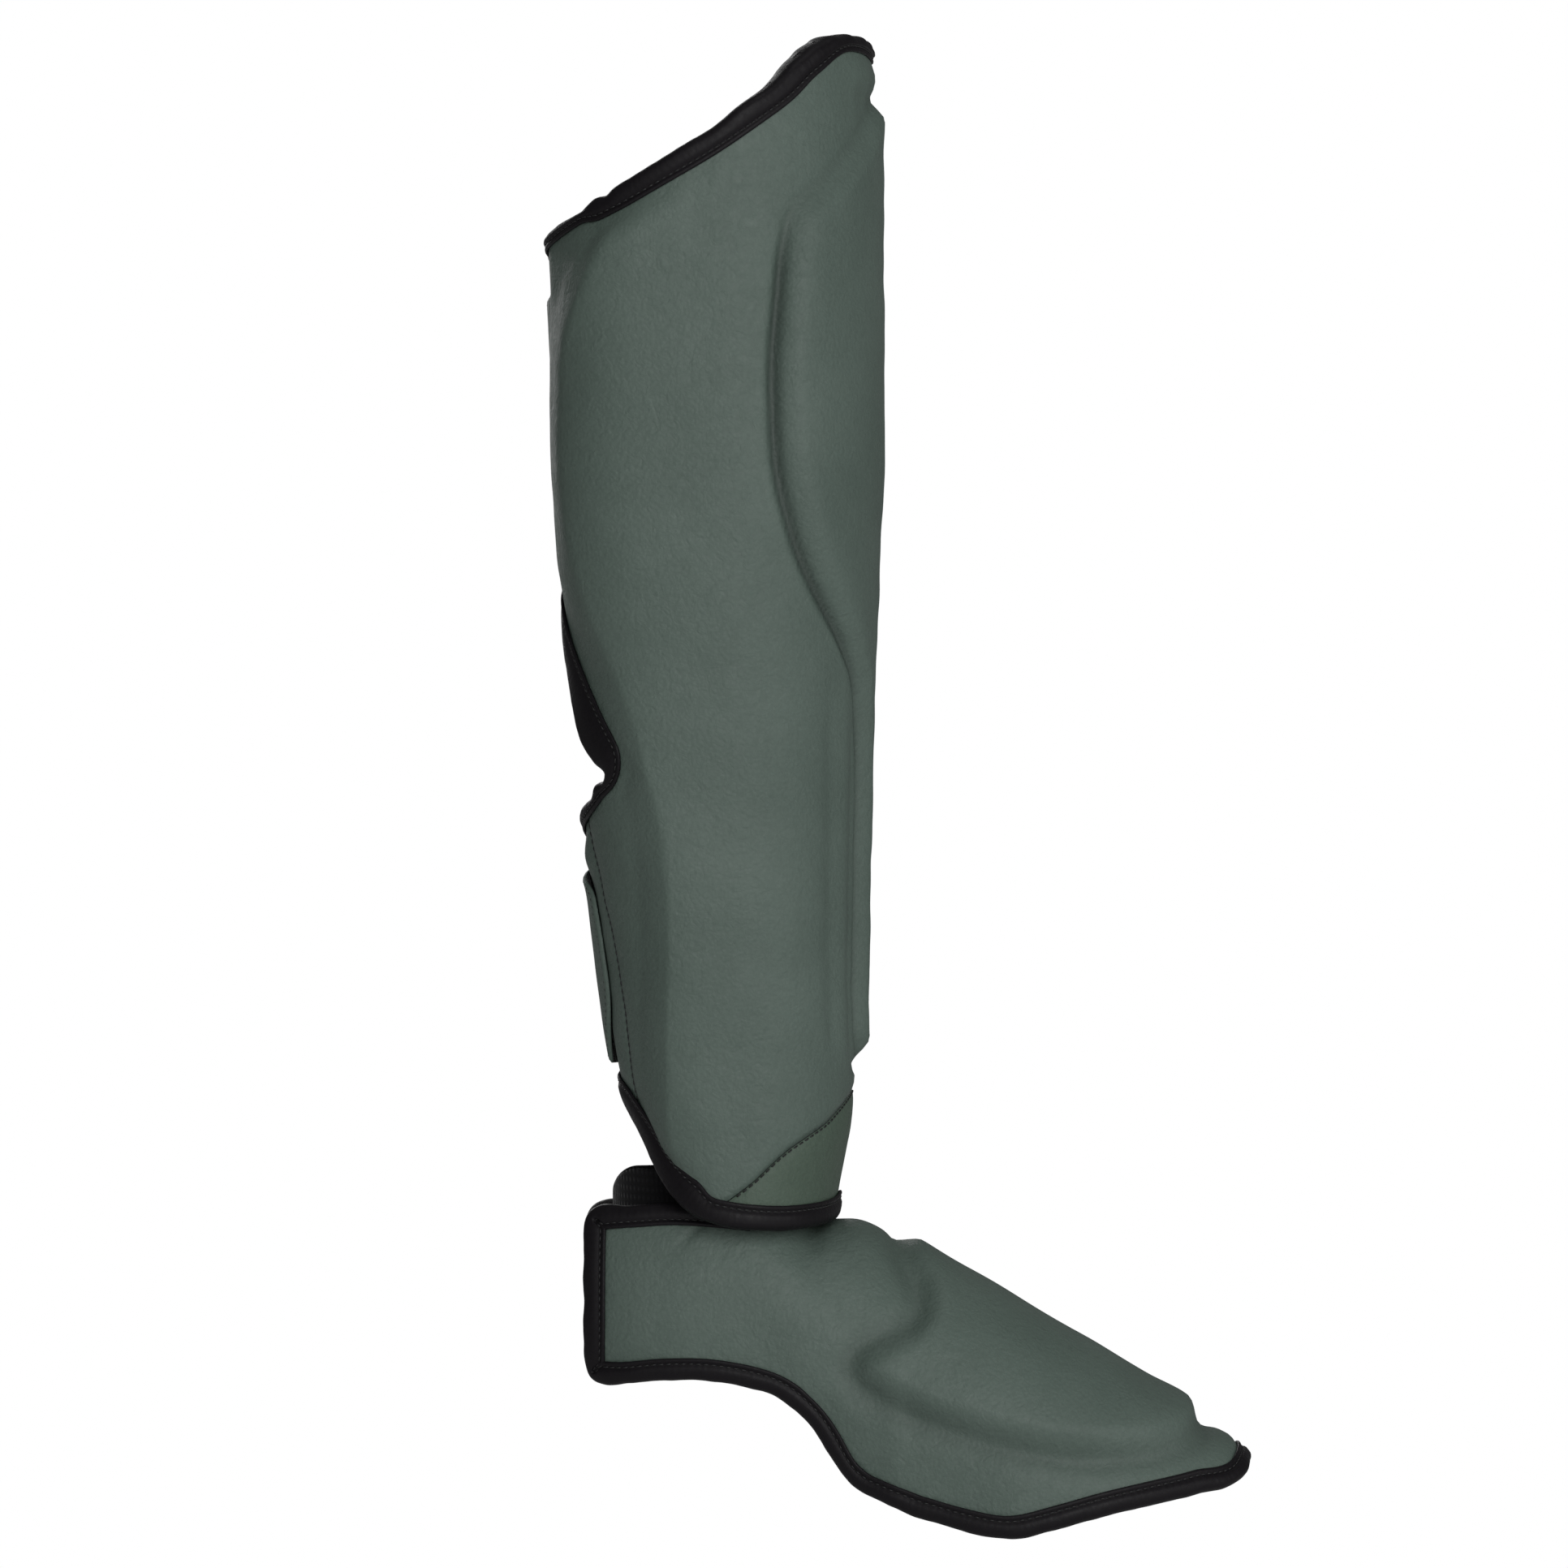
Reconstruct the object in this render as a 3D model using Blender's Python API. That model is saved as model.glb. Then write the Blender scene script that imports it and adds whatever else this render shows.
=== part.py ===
"""A muay thai shin guard for one leg, standing as it is worn: a padded shin shell with two calf straps,
and a padded foot cover that sits under its ankle rim. Metres, +Z up the leg, +X to the toes.
The origin is the centre of the ankle opening. Every wall is a curved form with a rule for its points:
the shell's is read by the angle round the leg and the height, the cover's by the distance forward and
the angle down from its ridge."""

import math

import bmesh
import bpy
import numpy as np

# Shin shell
SHIN_LENGTH = 0.410
CALF_DEPTH = 0.107
CALF_WIDTH = 0.132
BACK_GAP = 0.0155
SHIN_WALL = 0.0085
SHIN_PAD_RISE = 0.0045
SHIN_PAD_CORE = 0.005
SHIN_PAD_SLOPE = 0.009
SHIN_PAD_LEAD = 0.25
FRONT_SQUARENESS = 2.2
BACK_SQUARENESS = 2.4
TUCK = 0.0035
TUCK_START = 143.0
TUCK_PAST = 1.04

# Foot cover
HEEL_REACH = 0.0485
TOE_REACH = 0.175
FOOT_DROP = 0.1086
FOOT_WIDTH = 0.110
FOOT_WALL = 0.0070
FOOT_PAD_RISE = 0.0042
FOOT_PAD_SLOPE = 0.010
FOOT_PAD_LEAD = 0.35
FOOT_SQUARENESS = 2.2
FOOT_UNDERCUT = 1.4

# Rolled binding round every edge
BINDING = 0.0010
BINDING_PUFF = 0.0005
BINDING_LEG = 0.0060
BINDING_ROLL = 0.0030
BINDING_SWELL = 0.0005
ROLL_SHARE = 0.70
LEG_STEEPEST = 0.75

# Straps; a calf strap's lower and upper edges are shares of SHIN_LENGTH
STRAP = 0.0018
UPPER_STRAP_EDGES = (0.610, 0.776)
LOWER_STRAP_EDGES = (0.132, 0.295)
HEEL_STRAP_LOW = -0.035
HEEL_STRAP_HIGH = 0.0174
HEEL_STRAP_BACK = 0.042
HEEL_STRAP_ROOT = 0.015
HEEL_STRAP_ROUND = 0.0084
SOLE_STRAP_WIDTH = 0.036
SOLE_STRAP_PLACE = 0.094
SOLE_STRAP_TAB = 0.013
SOLE_STRAP_SAG = 0.002

# Gap between pieces that touch, of a wall beside its binding's legs, and past its edge inside the fold
FIT = 0.0003
FOLD_FIT = 0.0007
FOLD_ROOM = 0.0017

# How finely the forms are faceted
FRONT_COLUMNS = 10
SIDE_COLUMNS = 6
WING_COLUMNS = 4
EDGE_CELL = 8.0
SHARP_CORNER = 40.0
STRAP_ROWS = 5
UPPER_STRAP_COLUMNS = 11
LOWER_STRAP_COLUMNS = 13
HEEL_STRAP_ROWS = 6
HEEL_STRAP_COLUMNS = 15
SOLE_STRAP_SPANS = 8
COVER_RAYS = 19
COVER_ROWS = 9
COVER_LAST_ROW = 0.93

# Sections of the shell: height as a share of SHIN_LENGTH; how far its outside lies in front of the leg's
# axis and behind it, as shares of CALF_DEPTH; and its half width as a share of CALF_WIDTH.
SHIN_SECTIONS = (
    # height, front, back, half_width
    (-0.020, 0.313, -0.266, 0.390),
    (0.000, 0.322, -0.282, 0.394),
    (0.034, 0.343, -0.294, 0.398),
    (0.076, 0.374, -0.324, 0.405),
    (0.112, 0.386, -0.370, 0.409),
    (0.156, 0.388, -0.402, 0.419),
    (0.205, 0.387, -0.428, 0.432),
    (0.280, 0.391, -0.464, 0.446),
    (0.341, 0.399, -0.497, 0.455),
    (0.410, 0.406, -0.526, 0.470),
    (0.478, 0.415, -0.547, 0.481),
    (0.546, 0.426, -0.561, 0.492),
    (0.615, 0.439, -0.568, 0.500),
    (0.751, 0.441, -0.573, 0.500),
    (0.829, 0.439, -0.591, 0.492),
    (0.893, 0.436, -0.602, 0.481),
    (0.956, 0.438, -0.604, 0.466),
    (1.005, 0.430, -0.604, 0.455),
)

# Edge of the wall at the knee: angle round the leg from the front in degrees, height as a share.
TOP_RIM = (
    (-14, 0.977),
    (0, 0.972),
    (14, 0.977),
    (28, 0.984),
    (45, 0.980),
    (57, 0.965),
    (66, 0.944),
    (75, 0.927),
    (90, 0.899),
    (105, 0.875),
    (121, 0.851),
    (132, 0.842),
    (145, 0.832),
    (158, 0.822),
    (172, 0.810),
    (180, 0.807),
)

# Edge of the wall at the ankle, in the same columns.
BOTTOM_RIM = (
    (-26, 0.0050),
    (0, 0.0088),
    (26, 0.0050),
    (56, 0.0010),
    (78, -0.0007),
    (98, 0.0044),
    (108, 0.0110),
    (117, 0.0256),
    (126, 0.0427),
    (133, 0.0610),
    (142, 0.0805),
    (153, 0.1012),
    (172, 0.1122),
    (180, 0.1134),
)

# Stitched seam over the ankle panel, in the same columns: a chevron that comes down to the rim each side.
CHEVRON = (
    (0, 0.1085),
    (20, 0.1037),
    (35, 0.0946),
    (50, 0.0827),
    (64, 0.0698),
    (74, 0.0566),
    (86, 0.0330),
    (97, 0.0146),
    (105, 0.0024),
)
PANEL_END = 101.0

# Seam between the shell and each lower wing: height as a share, angle as a share of the wing angle.
WING_SEAM = (
    (0.080, 0.808),
    (0.150, 0.800),
    (0.200, 0.800),
    (0.233, 0.811),
    (0.267, 0.840),
    (0.302, 0.863),
    (0.338, 0.887),
)

# Free back edge of each side, in the same columns: straight wings with the calf notch between them.
BACK_EDGE = (
    (0.100, 1.000),
    (0.300, 1.000),
    (0.316, 0.996),
    (0.327, 0.968),
    (0.335, 0.916),
    (0.3425, 0.860),
    (0.351, 0.812),
    (0.361, 0.776),
    (0.372, 0.758),
    (0.384, 0.768),
    (0.402, 0.795),
    (0.423, 0.826),
    (0.444, 0.862),
    (0.464, 0.895),
    (0.485, 0.928),
    (0.505, 0.960),
    (0.530, 0.988),
    (0.560, 1.000),
    (0.800, 1.000),
)
NOTCH_TIP = 0.338
NOTCH_TOP = 0.560
WING_TOP = (0.300, 0.312, 0.323, 0.331, 0.3355)

# Edge of the raised shin pad: height as a share, angle from the front in degrees.
SHIN_PAD = (
    (0.132, 0),
    (0.146, 16),
    (0.170, 21),
    (0.341, 21),
    (0.422, 21),
    (0.450, 23),
    (0.473, 31),
    (0.490, 40),
    (0.510, 50),
    (0.535, 58),
    (0.565, 66),
    (0.600, 72),
    (0.670, 75),
    (0.751, 73),
    (0.793, 71),
    (0.817, 67),
    (0.837, 63),
    (0.854, 55),
    (0.868, 43),
    (0.886, 20),
    (0.930, 0),
)

# Near end of the lower strap: share of the strap's height, degrees past the back of the leg.
LOWER_STRAP_END = (
    (0.00, 20),
    (0.15, 25),
    (0.35, 32),
    (0.55, 31.5),
    (0.75, 29),
    (0.90, 24),
    (1.00, 10),
)
UPPER_STRAP_NEAR = 15.0
UPPER_STRAP_FAR = 32.0
STRAP_LIFT_FULL = 18.0
STRAP_LIFT_NONE = 27.0

# Sections of the foot cover. Station -1 is the wings' back edge, 0 the leg's axis, 1 the collar's front
# and 2 the toe edge. Ridge and centre heights are shares of FOOT_DROP. The half width adds a share of
# the room inside the shell's ankle rim and a share of half FOOT_WIDTH.
FOOT_SECTIONS = (
    # station, ridge, centre, ankle_share, foot_share
    (-1.000, 0.203, -0.276, 0.678, 0.000),
    (-0.907, 0.203, -0.276, 0.766, 0.000),
    (-0.784, 0.207, -0.276, 0.846, 0.000),
    (-0.515, 0.212, -0.276, 0.942, 0.000),
    (-0.165, 0.221, -0.285, 1.002, 0.000),
    (0.250, 0.203, -0.304, 1.021, 0.000),
    (0.625, 0.115, -0.322, 1.034, 0.000),
    (0.833, 0.046, -0.341, 1.044, 0.000),
    (1.000, -0.0025, -0.359, 1.053, 0.000),
    (1.066, -0.0045, -0.433, 0.800, 0.214),
    (1.129, -0.0080, -0.525, 0.500, 0.470),
    (1.162, -0.026, -0.571, 0.350, 0.602),
    (1.203, -0.062, -0.640, 0.200, 0.740),
    (1.238, -0.094, -0.691, 0.100, 0.823),
    (1.295, -0.141, -0.737, 0.000, 0.927),
    (1.464, -0.277, -0.856, 0.000, 1.000),
    (1.636, -0.418, -0.884, 0.000, 0.971),
    (1.768, -0.526, -0.884, 0.000, 0.880),
    (1.852, -0.594, -0.875, 0.000, 0.778),
    (1.907, -0.652, -0.861, 0.000, 0.691),
    (1.954, -0.688, -0.852, 0.000, 0.582),
    (2.000, -0.726, -0.843, 0.000, 0.455),
)

# Lower edge of the cover's wall: station, height as a share of FOOT_DROP.
FOOT_EDGE = (
    (-1.000, -0.488),
    (-0.837, -0.495),
    (-0.495, -0.483),
    (-0.144, -0.485),
    (0.000, -0.495),
    (0.408, -0.516),
    (0.687, -0.541),
    (0.917, -0.580),
    (1.020, -0.626),
    (1.060, -0.709),
    (1.086, -0.773),
    (1.129, -0.832),
    (1.184, -0.867),
    (1.238, -0.898),
    (1.351, -0.946),
    (1.464, -0.972),
    (1.574, -0.939),
    (1.682, -0.899),
    (1.795, -0.866),
    (1.852, -0.850),
    (1.907, -0.833),
    (1.960, -0.806),
    (1.987, -0.769),
    (2.000, -0.726),
)

# Upper edge of the cover's wall, round the ankle, in the same columns.
COLLAR_EDGE = (
    (-1.000, 0.012),
    (-0.860, 0.023),
    (-0.715, 0.027),
    (-0.454, 0.035),
    (0.000, 0.023),
    (0.625, 0.0046),
    (1.000, -0.0025),
)

# Rays of the cover from its collar to its lower edge, from the front centre line to the back edge.
RAYS = (
    # share of the way round, collar station, edge station
    (0.00, 1.000, 2.000),
    (0.04, 0.998, 1.995),
    (0.08, 0.987, 1.983),
    (0.16, 0.950, 1.940),
    (0.24, 0.883, 1.868),
    (0.32, 0.783, 1.768),
    (0.40, 0.646, 1.636),
    (0.48, 0.479, 1.490),
    (0.56, 0.271, 1.338),
    (0.64, 0.000, 1.192),
    (0.72, -0.165, 1.060),
    (0.80, -0.371, 0.625),
    (0.90, -0.680, -0.309),
    (1.00, -1.000, -1.000),
)

# Outline of the raised foot pad seen from the side: station, height as a share of FOOT_DROP.
FOOT_PAD = (
    (1.203, 0.300),
    (1.203, -0.062),
    (1.212, -0.090),
    (1.258, -0.168),
    (1.299, -0.245),
    (1.286, -0.322),
    (1.221, -0.361),
    (1.156, -0.392),
    (1.132, -0.444),
    (1.143, -0.516),
    (1.203, -0.593),
    (1.314, -0.670),
    (1.444, -0.722),
    (1.574, -0.760),
    (1.760, -0.752),
    (1.860, -0.710),
    (1.907, -0.640),
    (1.907, 0.300),
)

# Where the collar binding of each wing stops, under the ankle rim.
COLLAR_BINDING_END = 0.25


def smooth(at, knots, values):
    """A curve through the values, with no corner at a knot, and straight beyond the end knots."""
    knots, values = np.asarray(knots, float), np.asarray(values, float)
    gaps = np.diff(knots)
    rises = np.diff(values) / gaps
    inner = (rises[:-1] * gaps[1:] + rises[1:] * gaps[:-1]) / (gaps[:-1] + gaps[1:])
    slopes = np.concatenate([rises[:1], inner, rises[-1:]])
    place = np.clip(at, knots[0], knots[-1])
    i = np.clip(np.searchsorted(knots, place, side="right") - 1, 0, len(gaps) - 1)
    t = (place - knots[i]) / gaps[i]
    start = (1 + 2 * t) * (1 - t) ** 2 * values[i] + t * (1 - t) ** 2 * gaps[i] * slopes[i]
    end = t**2 * (3 - 2 * t) * values[i + 1] + t**2 * (t - 1) * gaps[i] * slopes[i + 1]
    beyond = np.where(np.asarray(at) < knots[0], slopes[0], slopes[-1]) * (at - place)
    return start + end + beyond


def read(table, at, column=1):
    return smooth(at, [row[0] for row in table], [row[column] for row in table])


def ease(share):
    share = np.clip(share, 0, 1)
    return share * share * (3 - 2 * share)


def unit(vectors):
    return vectors / np.linalg.norm(vectors, axis=-1, keepdims=True)


# Form of the shin shell


def wing_angle():
    """Angle from the front to the free back edge of a wing."""
    return math.pi - math.atan(BACK_GAP / 2 / (CALF_DEPTH / 2))


def shin_point(angle, height):
    """Outside of the bare shell: a squared ellipse round the leg at each height. Its free back edges turn
    in by TUCK, and the turn runs on a little past them, into the gap that the straps cross."""
    share = height / SHIN_LENGTH
    front = read(SHIN_SECTIONS, share, 1) * CALF_DEPTH
    back = read(SHIN_SECTIONS, share, 2) * CALF_DEPTH
    half = read(SHIN_SECTIONS, share, 3) * CALF_WIDTH
    power = np.where(np.cos(angle) >= 0, FRONT_SQUARENESS, BACK_SQUARENESS)
    deep = np.abs(np.cos(angle)) / ((front - back) / 2)
    wide = np.abs(np.sin(angle)) / half
    start = math.radians(TUCK_START)
    around = math.pi - np.abs(math.pi - np.abs(angle))
    turned = np.clip((around - start) / (wing_angle() - start), 0, TUCK_PAST)
    radius = (deep**power + wide**power) ** (-1 / power) - TUCK * turned**2
    x = (front + back) / 2 + radius * np.cos(angle)
    return np.stack([x, radius * np.sin(angle), height + 0 * x], axis=-1)


def shin_normal(angle, height):
    step = 1e-4
    round_leg = shin_point(angle + step, height) - shin_point(angle - step, height)
    up = shin_point(angle, height + step) - shin_point(angle, height - step)
    return unit(np.cross(round_leg, up))


def shin_skin(angle, height, rise):
    """The bare shell moved out by rise, which may differ from point to point."""
    angle, height = np.broadcast_arrays(np.asarray(angle, float), np.asarray(height, float))
    rise = np.broadcast_to(rise, angle.shape)
    return shin_point(angle, height) + shin_normal(angle, height) * rise[..., None]


def rim_height(table, angle):
    return read(table, np.degrees(np.abs(angle))) * SHIN_LENGTH


def shell_low(angle):
    """Lower edge of the shell: over the ankle panel its seam, elsewhere the ankle rim."""
    return np.maximum(rim_height(BOTTOM_RIM, angle), rim_height(CHEVRON, angle) + FIT / 2)


def edge_angle(table, height):
    return read(table, height / SHIN_LENGTH) * wing_angle()


def shin_pad_rise(angle, height):
    """How much of the pad is under a point, 0 to 1."""
    edge = np.radians(read(SHIN_PAD, height / SHIN_LENGTH))
    reach = CALF_DEPTH / 2
    inside = (edge - np.abs(angle)) * reach / SHIN_PAD_SLOPE + SHIN_PAD_LEAD
    return ease(inside) * ease(edge * reach / SHIN_PAD_SLOPE)


# Form of the foot cover


def binding_clearance():
    """How far off the bare wall a piece lies that crosses a binding."""
    return FOLD_FIT + BINDING + BINDING_PUFF + FIT


def ankle_room():
    """Half width inside the shell's wall at its ankle rim."""
    return read(SHIN_SECTIONS, 0.0, 3) * CALF_WIDTH - SHIN_WALL


def collar_reach():
    """How far in front of the leg's axis the collar ends, inside the shell's bound rim."""
    front = read(SHIN_SECTIONS, BOTTOM_RIM[1][1], 1) * CALF_DEPTH
    return front - SHIN_WALL - binding_clearance()


def station_x(station):
    return np.interp(station, (-1, 0, 1, 2), (-HEEL_REACH, 0, collar_reach(), TOE_REACH))


def read_foot(table, x, column=1):
    return smooth(x, station_x([row[0] for row in table]), [row[column] for row in table])


def foot_section(x):
    ridge = read_foot(FOOT_SECTIONS, x, 1) * FOOT_DROP
    centre = read_foot(FOOT_SECTIONS, x, 2) * FOOT_DROP
    half = read_foot(FOOT_SECTIONS, x, 3) * ankle_room() + read_foot(FOOT_SECTIONS, x, 4) * FOOT_WIDTH / 2
    return ridge, centre, half


def foot_point(x, turn):
    """Outside of the bare cover: an arch across the foot at each x, read by the turn down from its ridge."""
    ridge, centre, half = foot_section(x)
    tall = np.where(np.cos(turn) >= 0, ridge - centre, half * FOOT_UNDERCUT)
    power = FOOT_SQUARENESS
    high = np.abs(np.cos(turn)) / tall
    wide = np.abs(np.sin(turn)) / half
    radius = (high**power + wide**power) ** (-1 / power)
    return np.stack([x + 0 * radius, radius * np.sin(turn), centre + radius * np.cos(turn)], axis=-1)


def foot_turn(x, height):
    """The turn at which the arch at x has this height."""
    ridge, centre, half = foot_section(x)
    up = np.minimum(height, ridge) - centre
    tall = np.where(up >= 0, ridge - centre, half * FOOT_UNDERCUT)
    share = np.clip(np.abs(up) / tall, 0, 1)
    across = half * (1 - share**FOOT_SQUARENESS) ** (1 / FOOT_SQUARENESS)
    return np.arctan2(across, up)


def foot_normal(x, turn):
    step = 1e-4
    along = foot_point(x + step, turn) - foot_point(x - step, turn)
    down = foot_point(x, turn + step) - foot_point(x, turn - step)
    return unit(np.cross(along, down))


def foot_skin(x, turn, rise):
    x, turn = np.broadcast_arrays(np.asarray(x, float), np.asarray(turn, float))
    rise = np.broadcast_to(rise, x.shape)
    return foot_point(x, turn) + foot_normal(x, turn) * rise[..., None]


def foot_place(way, down):
    """Distance forward and turn of a point of the cover: way round from -1 to 1, down its ray from 0 to 1."""
    size = np.abs(way)
    knots = [row[0] ** 2 for row in RAYS]
    starts = smooth(size**2, knots, station_x([row[1] for row in RAYS]))
    ends = smooth(size**2, knots, station_x([row[2] for row in RAYS]))
    start_turn = foot_turn(starts, read_foot(COLLAR_EDGE, starts) * FOOT_DROP)
    end_turn = foot_turn(ends, read_foot(FOOT_EDGE, ends) * FOOT_DROP)
    front = size < 1e-9
    start_turn = np.where(front, 0, start_turn)
    end_turn = np.where(front, 0, end_turn)
    x = starts + (ends - starts) * down
    turn = start_turn + (end_turn - start_turn) * down
    return x, turn * np.sign(way)


def outline_depth(x, height, outline):
    """How far inside a closed side outline each point lies; negative outside it."""
    corners = np.array([(station_x(s), h * FOOT_DROP) for s, h in outline])
    point = np.stack([x, height], axis=-1)
    nearest = np.full(x.shape, np.inf)
    inside = np.zeros(x.shape, bool)
    for start, end in zip(corners, np.roll(corners, -1, axis=0)):
        run = end - start
        share = np.clip(((point - start) @ run) / (run @ run), 0, 1)
        nearest = np.minimum(nearest, np.linalg.norm(point - start - share[..., None] * run, axis=-1))
        spans = (start[1] > height) != (end[1] > height)
        rise = np.where(run[1] == 0, 1, run[1])
        inside ^= spans & (x < start[0] + (height - start[1]) / rise * run[0])
    return np.where(inside, nearest, -nearest)


def foot_pad_rise(x, turn):
    point = foot_point(x, turn)
    return ease(outline_depth(point[..., 0], point[..., 2], FOOT_PAD) / FOOT_PAD_SLOPE + FOOT_PAD_LEAD)


# Solids


def material(name, colour, roughness):
    made = bpy.data.materials.get(name) or bpy.data.materials.new(name)
    made.use_nodes = True
    shader = made.node_tree.nodes["Principled BSDF"]
    shader.inputs["Base Color"].default_value = (*colour, 1)
    shader.inputs["Roughness"].default_value = roughness
    shader.inputs["Metallic"].default_value = 0
    return made


def leather():
    return material("green_leather", (0.092, 0.117, 0.107), 0.5)


def bound():
    return material("black_binding", (0.012, 0.010, 0.012), 0.45)


def webbing():
    return material("black_webbing", (0.006, 0.006, 0.007), 0.85)


def add_solid(name, points, faces, finish):
    mesh = bpy.data.meshes.new(name)
    mesh.from_pydata(points.tolist(), [], faces)
    shape = bmesh.new()
    shape.from_mesh(mesh)
    bmesh.ops.recalc_face_normals(shape, faces=shape.faces)
    if shape.calc_volume(signed=True) < 0:
        bmesh.ops.reverse_faces(shape, faces=shape.faces)
    shape.to_mesh(mesh)
    shape.free()
    mesh.shade_smooth()
    mesh.set_sharp_from_angle(angle=math.radians(SHARP_CORNER))
    mesh.materials.append(finish)
    solid = bpy.data.objects.new(name, mesh)
    bpy.context.scene.collection.objects.link(solid)
    return solid


def add_wall(name, outside, inside, finish, middle=0):
    """A closed wall between two grids of the same rows and columns. Every four-sided face is split from
    its low corner to its high one, or the other way before the middle column, so that the two halves
    mirror each other and the end faces of two walls that meet are split alike."""
    rows, columns = outside.shape[:2]
    points = np.concatenate([outside.reshape(-1, 3), inside.reshape(-1, 3)])
    under = rows * columns
    faces = []
    for r in range(rows - 1):
        for c in range(columns - 1):
            a = r * columns + c
            b, d, e = a + 1, a + columns, a + columns + 1
            split = [(a, b, d), (b, e, d)] if c < middle else [(a, b, e), (a, e, d)]
            faces += split + [tuple(under + i for i in reversed(face)) for face in split]
    ring = list(range(columns))
    ring += [r * columns + columns - 1 for r in range(1, rows)]
    ring += [(rows - 1) * columns + c for c in range(columns - 2, -1, -1)]
    ring += [r * columns for r in range(rows - 2, 0, -1)]
    for a, b in zip(ring, ring[1:] + ring[:1]):
        before = a // columns == b // columns and min(a, b) % columns < middle
        if (a < b) != before:
            faces += [(b, a, under + b), (a, under + a, under + b)]
        else:
            faces += [(b, a, under + a), (b, under + a, under + b)]
    return add_solid(name, points, faces, finish)


def add_sweep(name, rings, caps, finish, middle=0):
    """A closed profile carried along a path. caps are the end face's triangles, as corners of a ring."""
    count, sides = rings.shape[:2]
    last = (count - 1) * sides
    faces = list(caps) + [tuple(last + i for i in reversed(cap)) for cap in caps]
    for r in range(count - 1):
        for i in range(sides):
            a, b = r * sides + i, r * sides + (i + 1) % sides
            c, d = a + sides, b + sides
            faces += [(a, c, b), (c, d, b)] if r < middle else [(a, c, d), (a, d, b)]
    return add_solid(name, rings.reshape(-1, 3), faces, finish)


def cut_ends(edge, values, stop):
    """Values along an edge, from a distance of stop after its start to the same before its end. Rows
    that lie close to a stop are left out."""
    run = np.concatenate([[0], np.cumsum(np.linalg.norm(np.diff(edge, axis=0), axis=1))])
    near = stop + 2 * BINDING
    kept = run[(run > near) & (run < run[-1] - near)]
    at = np.concatenate([[stop], kept, [run[-1] - stop]])
    return np.array([[np.interp(at, run, line) for line in value] for value in values])


def add_binding(name, edge, inner, normals, wall, middle=0):
    """Leather folded over a wall's edge. edge is the wall's outer corner and inner the next line of its
    grid: the legs of the fold lie along the grid, and leave a slot that the wall fills but for FOLD_FIT."""
    along = unit(np.gradient(edge, axis=0))
    back = unit(inner - edge)
    out = -back + (back * along).sum(-1, keepdims=True) * along
    steep = np.linalg.norm(out, axis=-1, keepdims=True)
    out = unit(out)
    normal = np.cross(along, out)
    normal = normal * np.sign((normal * normals).sum(-1, keepdims=True))
    slot = wall / 2 + FOLD_FIT
    leg = slot + BINDING
    puff = leg + BINDING_PUFF
    profile = (
        (leg, -BINDING_LEG),
        (puff, BINDING_SWELL),
        (puff * ROLL_SHARE, BINDING_ROLL),
        (-puff * ROLL_SHARE, BINDING_ROLL),
        (-puff, BINDING_SWELL),
        (-leg, -BINDING_LEG),
        (-slot, -BINDING_LEG),
        (-slot, FOLD_ROOM),
        (slot, FOLD_ROOM),
        (slot, -BINDING_LEG),
    )
    core = edge - normal * wall / 2
    leg_way = back / np.maximum(steep, LEG_STEEPEST)
    rings = [core + normal * a + (out * b if b > 0 else leg_way * -b) for a, b in profile]
    caps = ((0, 1, 9), (1, 8, 9), (1, 2, 8), (2, 3, 8), (3, 7, 8), (3, 4, 7), (4, 6, 7), (4, 5, 6))
    return add_sweep(name, np.stack(rings, axis=1), caps, bound(), middle)


# Pieces of the shin shell


def shell_wall(angle, height):
    """Outside and inside points of the shell's padded wall."""
    pad = shin_pad_rise(angle, height)
    outside = shin_skin(angle, height, pad * SHIN_PAD_RISE)
    inside = shin_skin(angle, height, -SHIN_WALL - pad * SHIN_PAD_CORE)
    return outside, inside


def side_columns():
    """Angles of the shell's upright columns on one side, from the front to the end of the ankle panel."""
    return np.radians(np.linspace(0, PANEL_END, FRONT_COLUMNS + 1))


def wing_rows():
    """Heights at which the rows of a lower wing meet its seam, from the ankle rim up to the notch."""
    low = WING_SEAM[0][0] * SHIN_LENGTH
    for _ in range(6):
        low = rim_height(BOTTOM_RIM, edge_angle(WING_SEAM, low))
    even = np.linspace(low, WING_TOP[0] * SHIN_LENGTH, 6)
    return np.concatenate([even, np.array(WING_TOP[1:]) * SHIN_LENGTH])


def shell_grid():
    """Angle and height of the shell's grid on the left side, from the front to its back edge. The columns
    stand upright over the ankle panel; behind it they share the way to the back edge."""
    below = np.append(wing_rows(), NOTCH_TIP * SHIN_LENGTH)
    notch = [row[0] * SHIN_LENGTH for row in BACK_EDGE if NOTCH_TIP < row[0] < NOTCH_TOP]
    above = np.linspace(NOTCH_TOP * SHIN_LENGTH, rim_height(TOP_RIM, wing_angle()), 9)
    height = np.concatenate([below, notch, above])[:, None]
    seam = edge_angle(WING_SEAM, height) - FIT / CALF_DEPTH
    ends = np.where(height <= below[-1], seam, edge_angle(BACK_EDGE, height))
    upright = side_columns()[None, :] + 0 * ends
    last = ends - math.radians(EDGE_CELL)
    behind = upright[:, -1:] + (last - upright[:, -1:]) * np.linspace(0, 1, SIDE_COLUMNS)[None, 1:]
    angle = np.concatenate([upright, behind, ends], axis=1)
    up = (height - shell_low(ends)) / (rim_height(TOP_RIM, ends) - shell_low(ends))
    up[0], up[-1] = 0, 1
    return angle, shell_low(angle) + (rim_height(TOP_RIM, angle) - shell_low(angle)) * up


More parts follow.
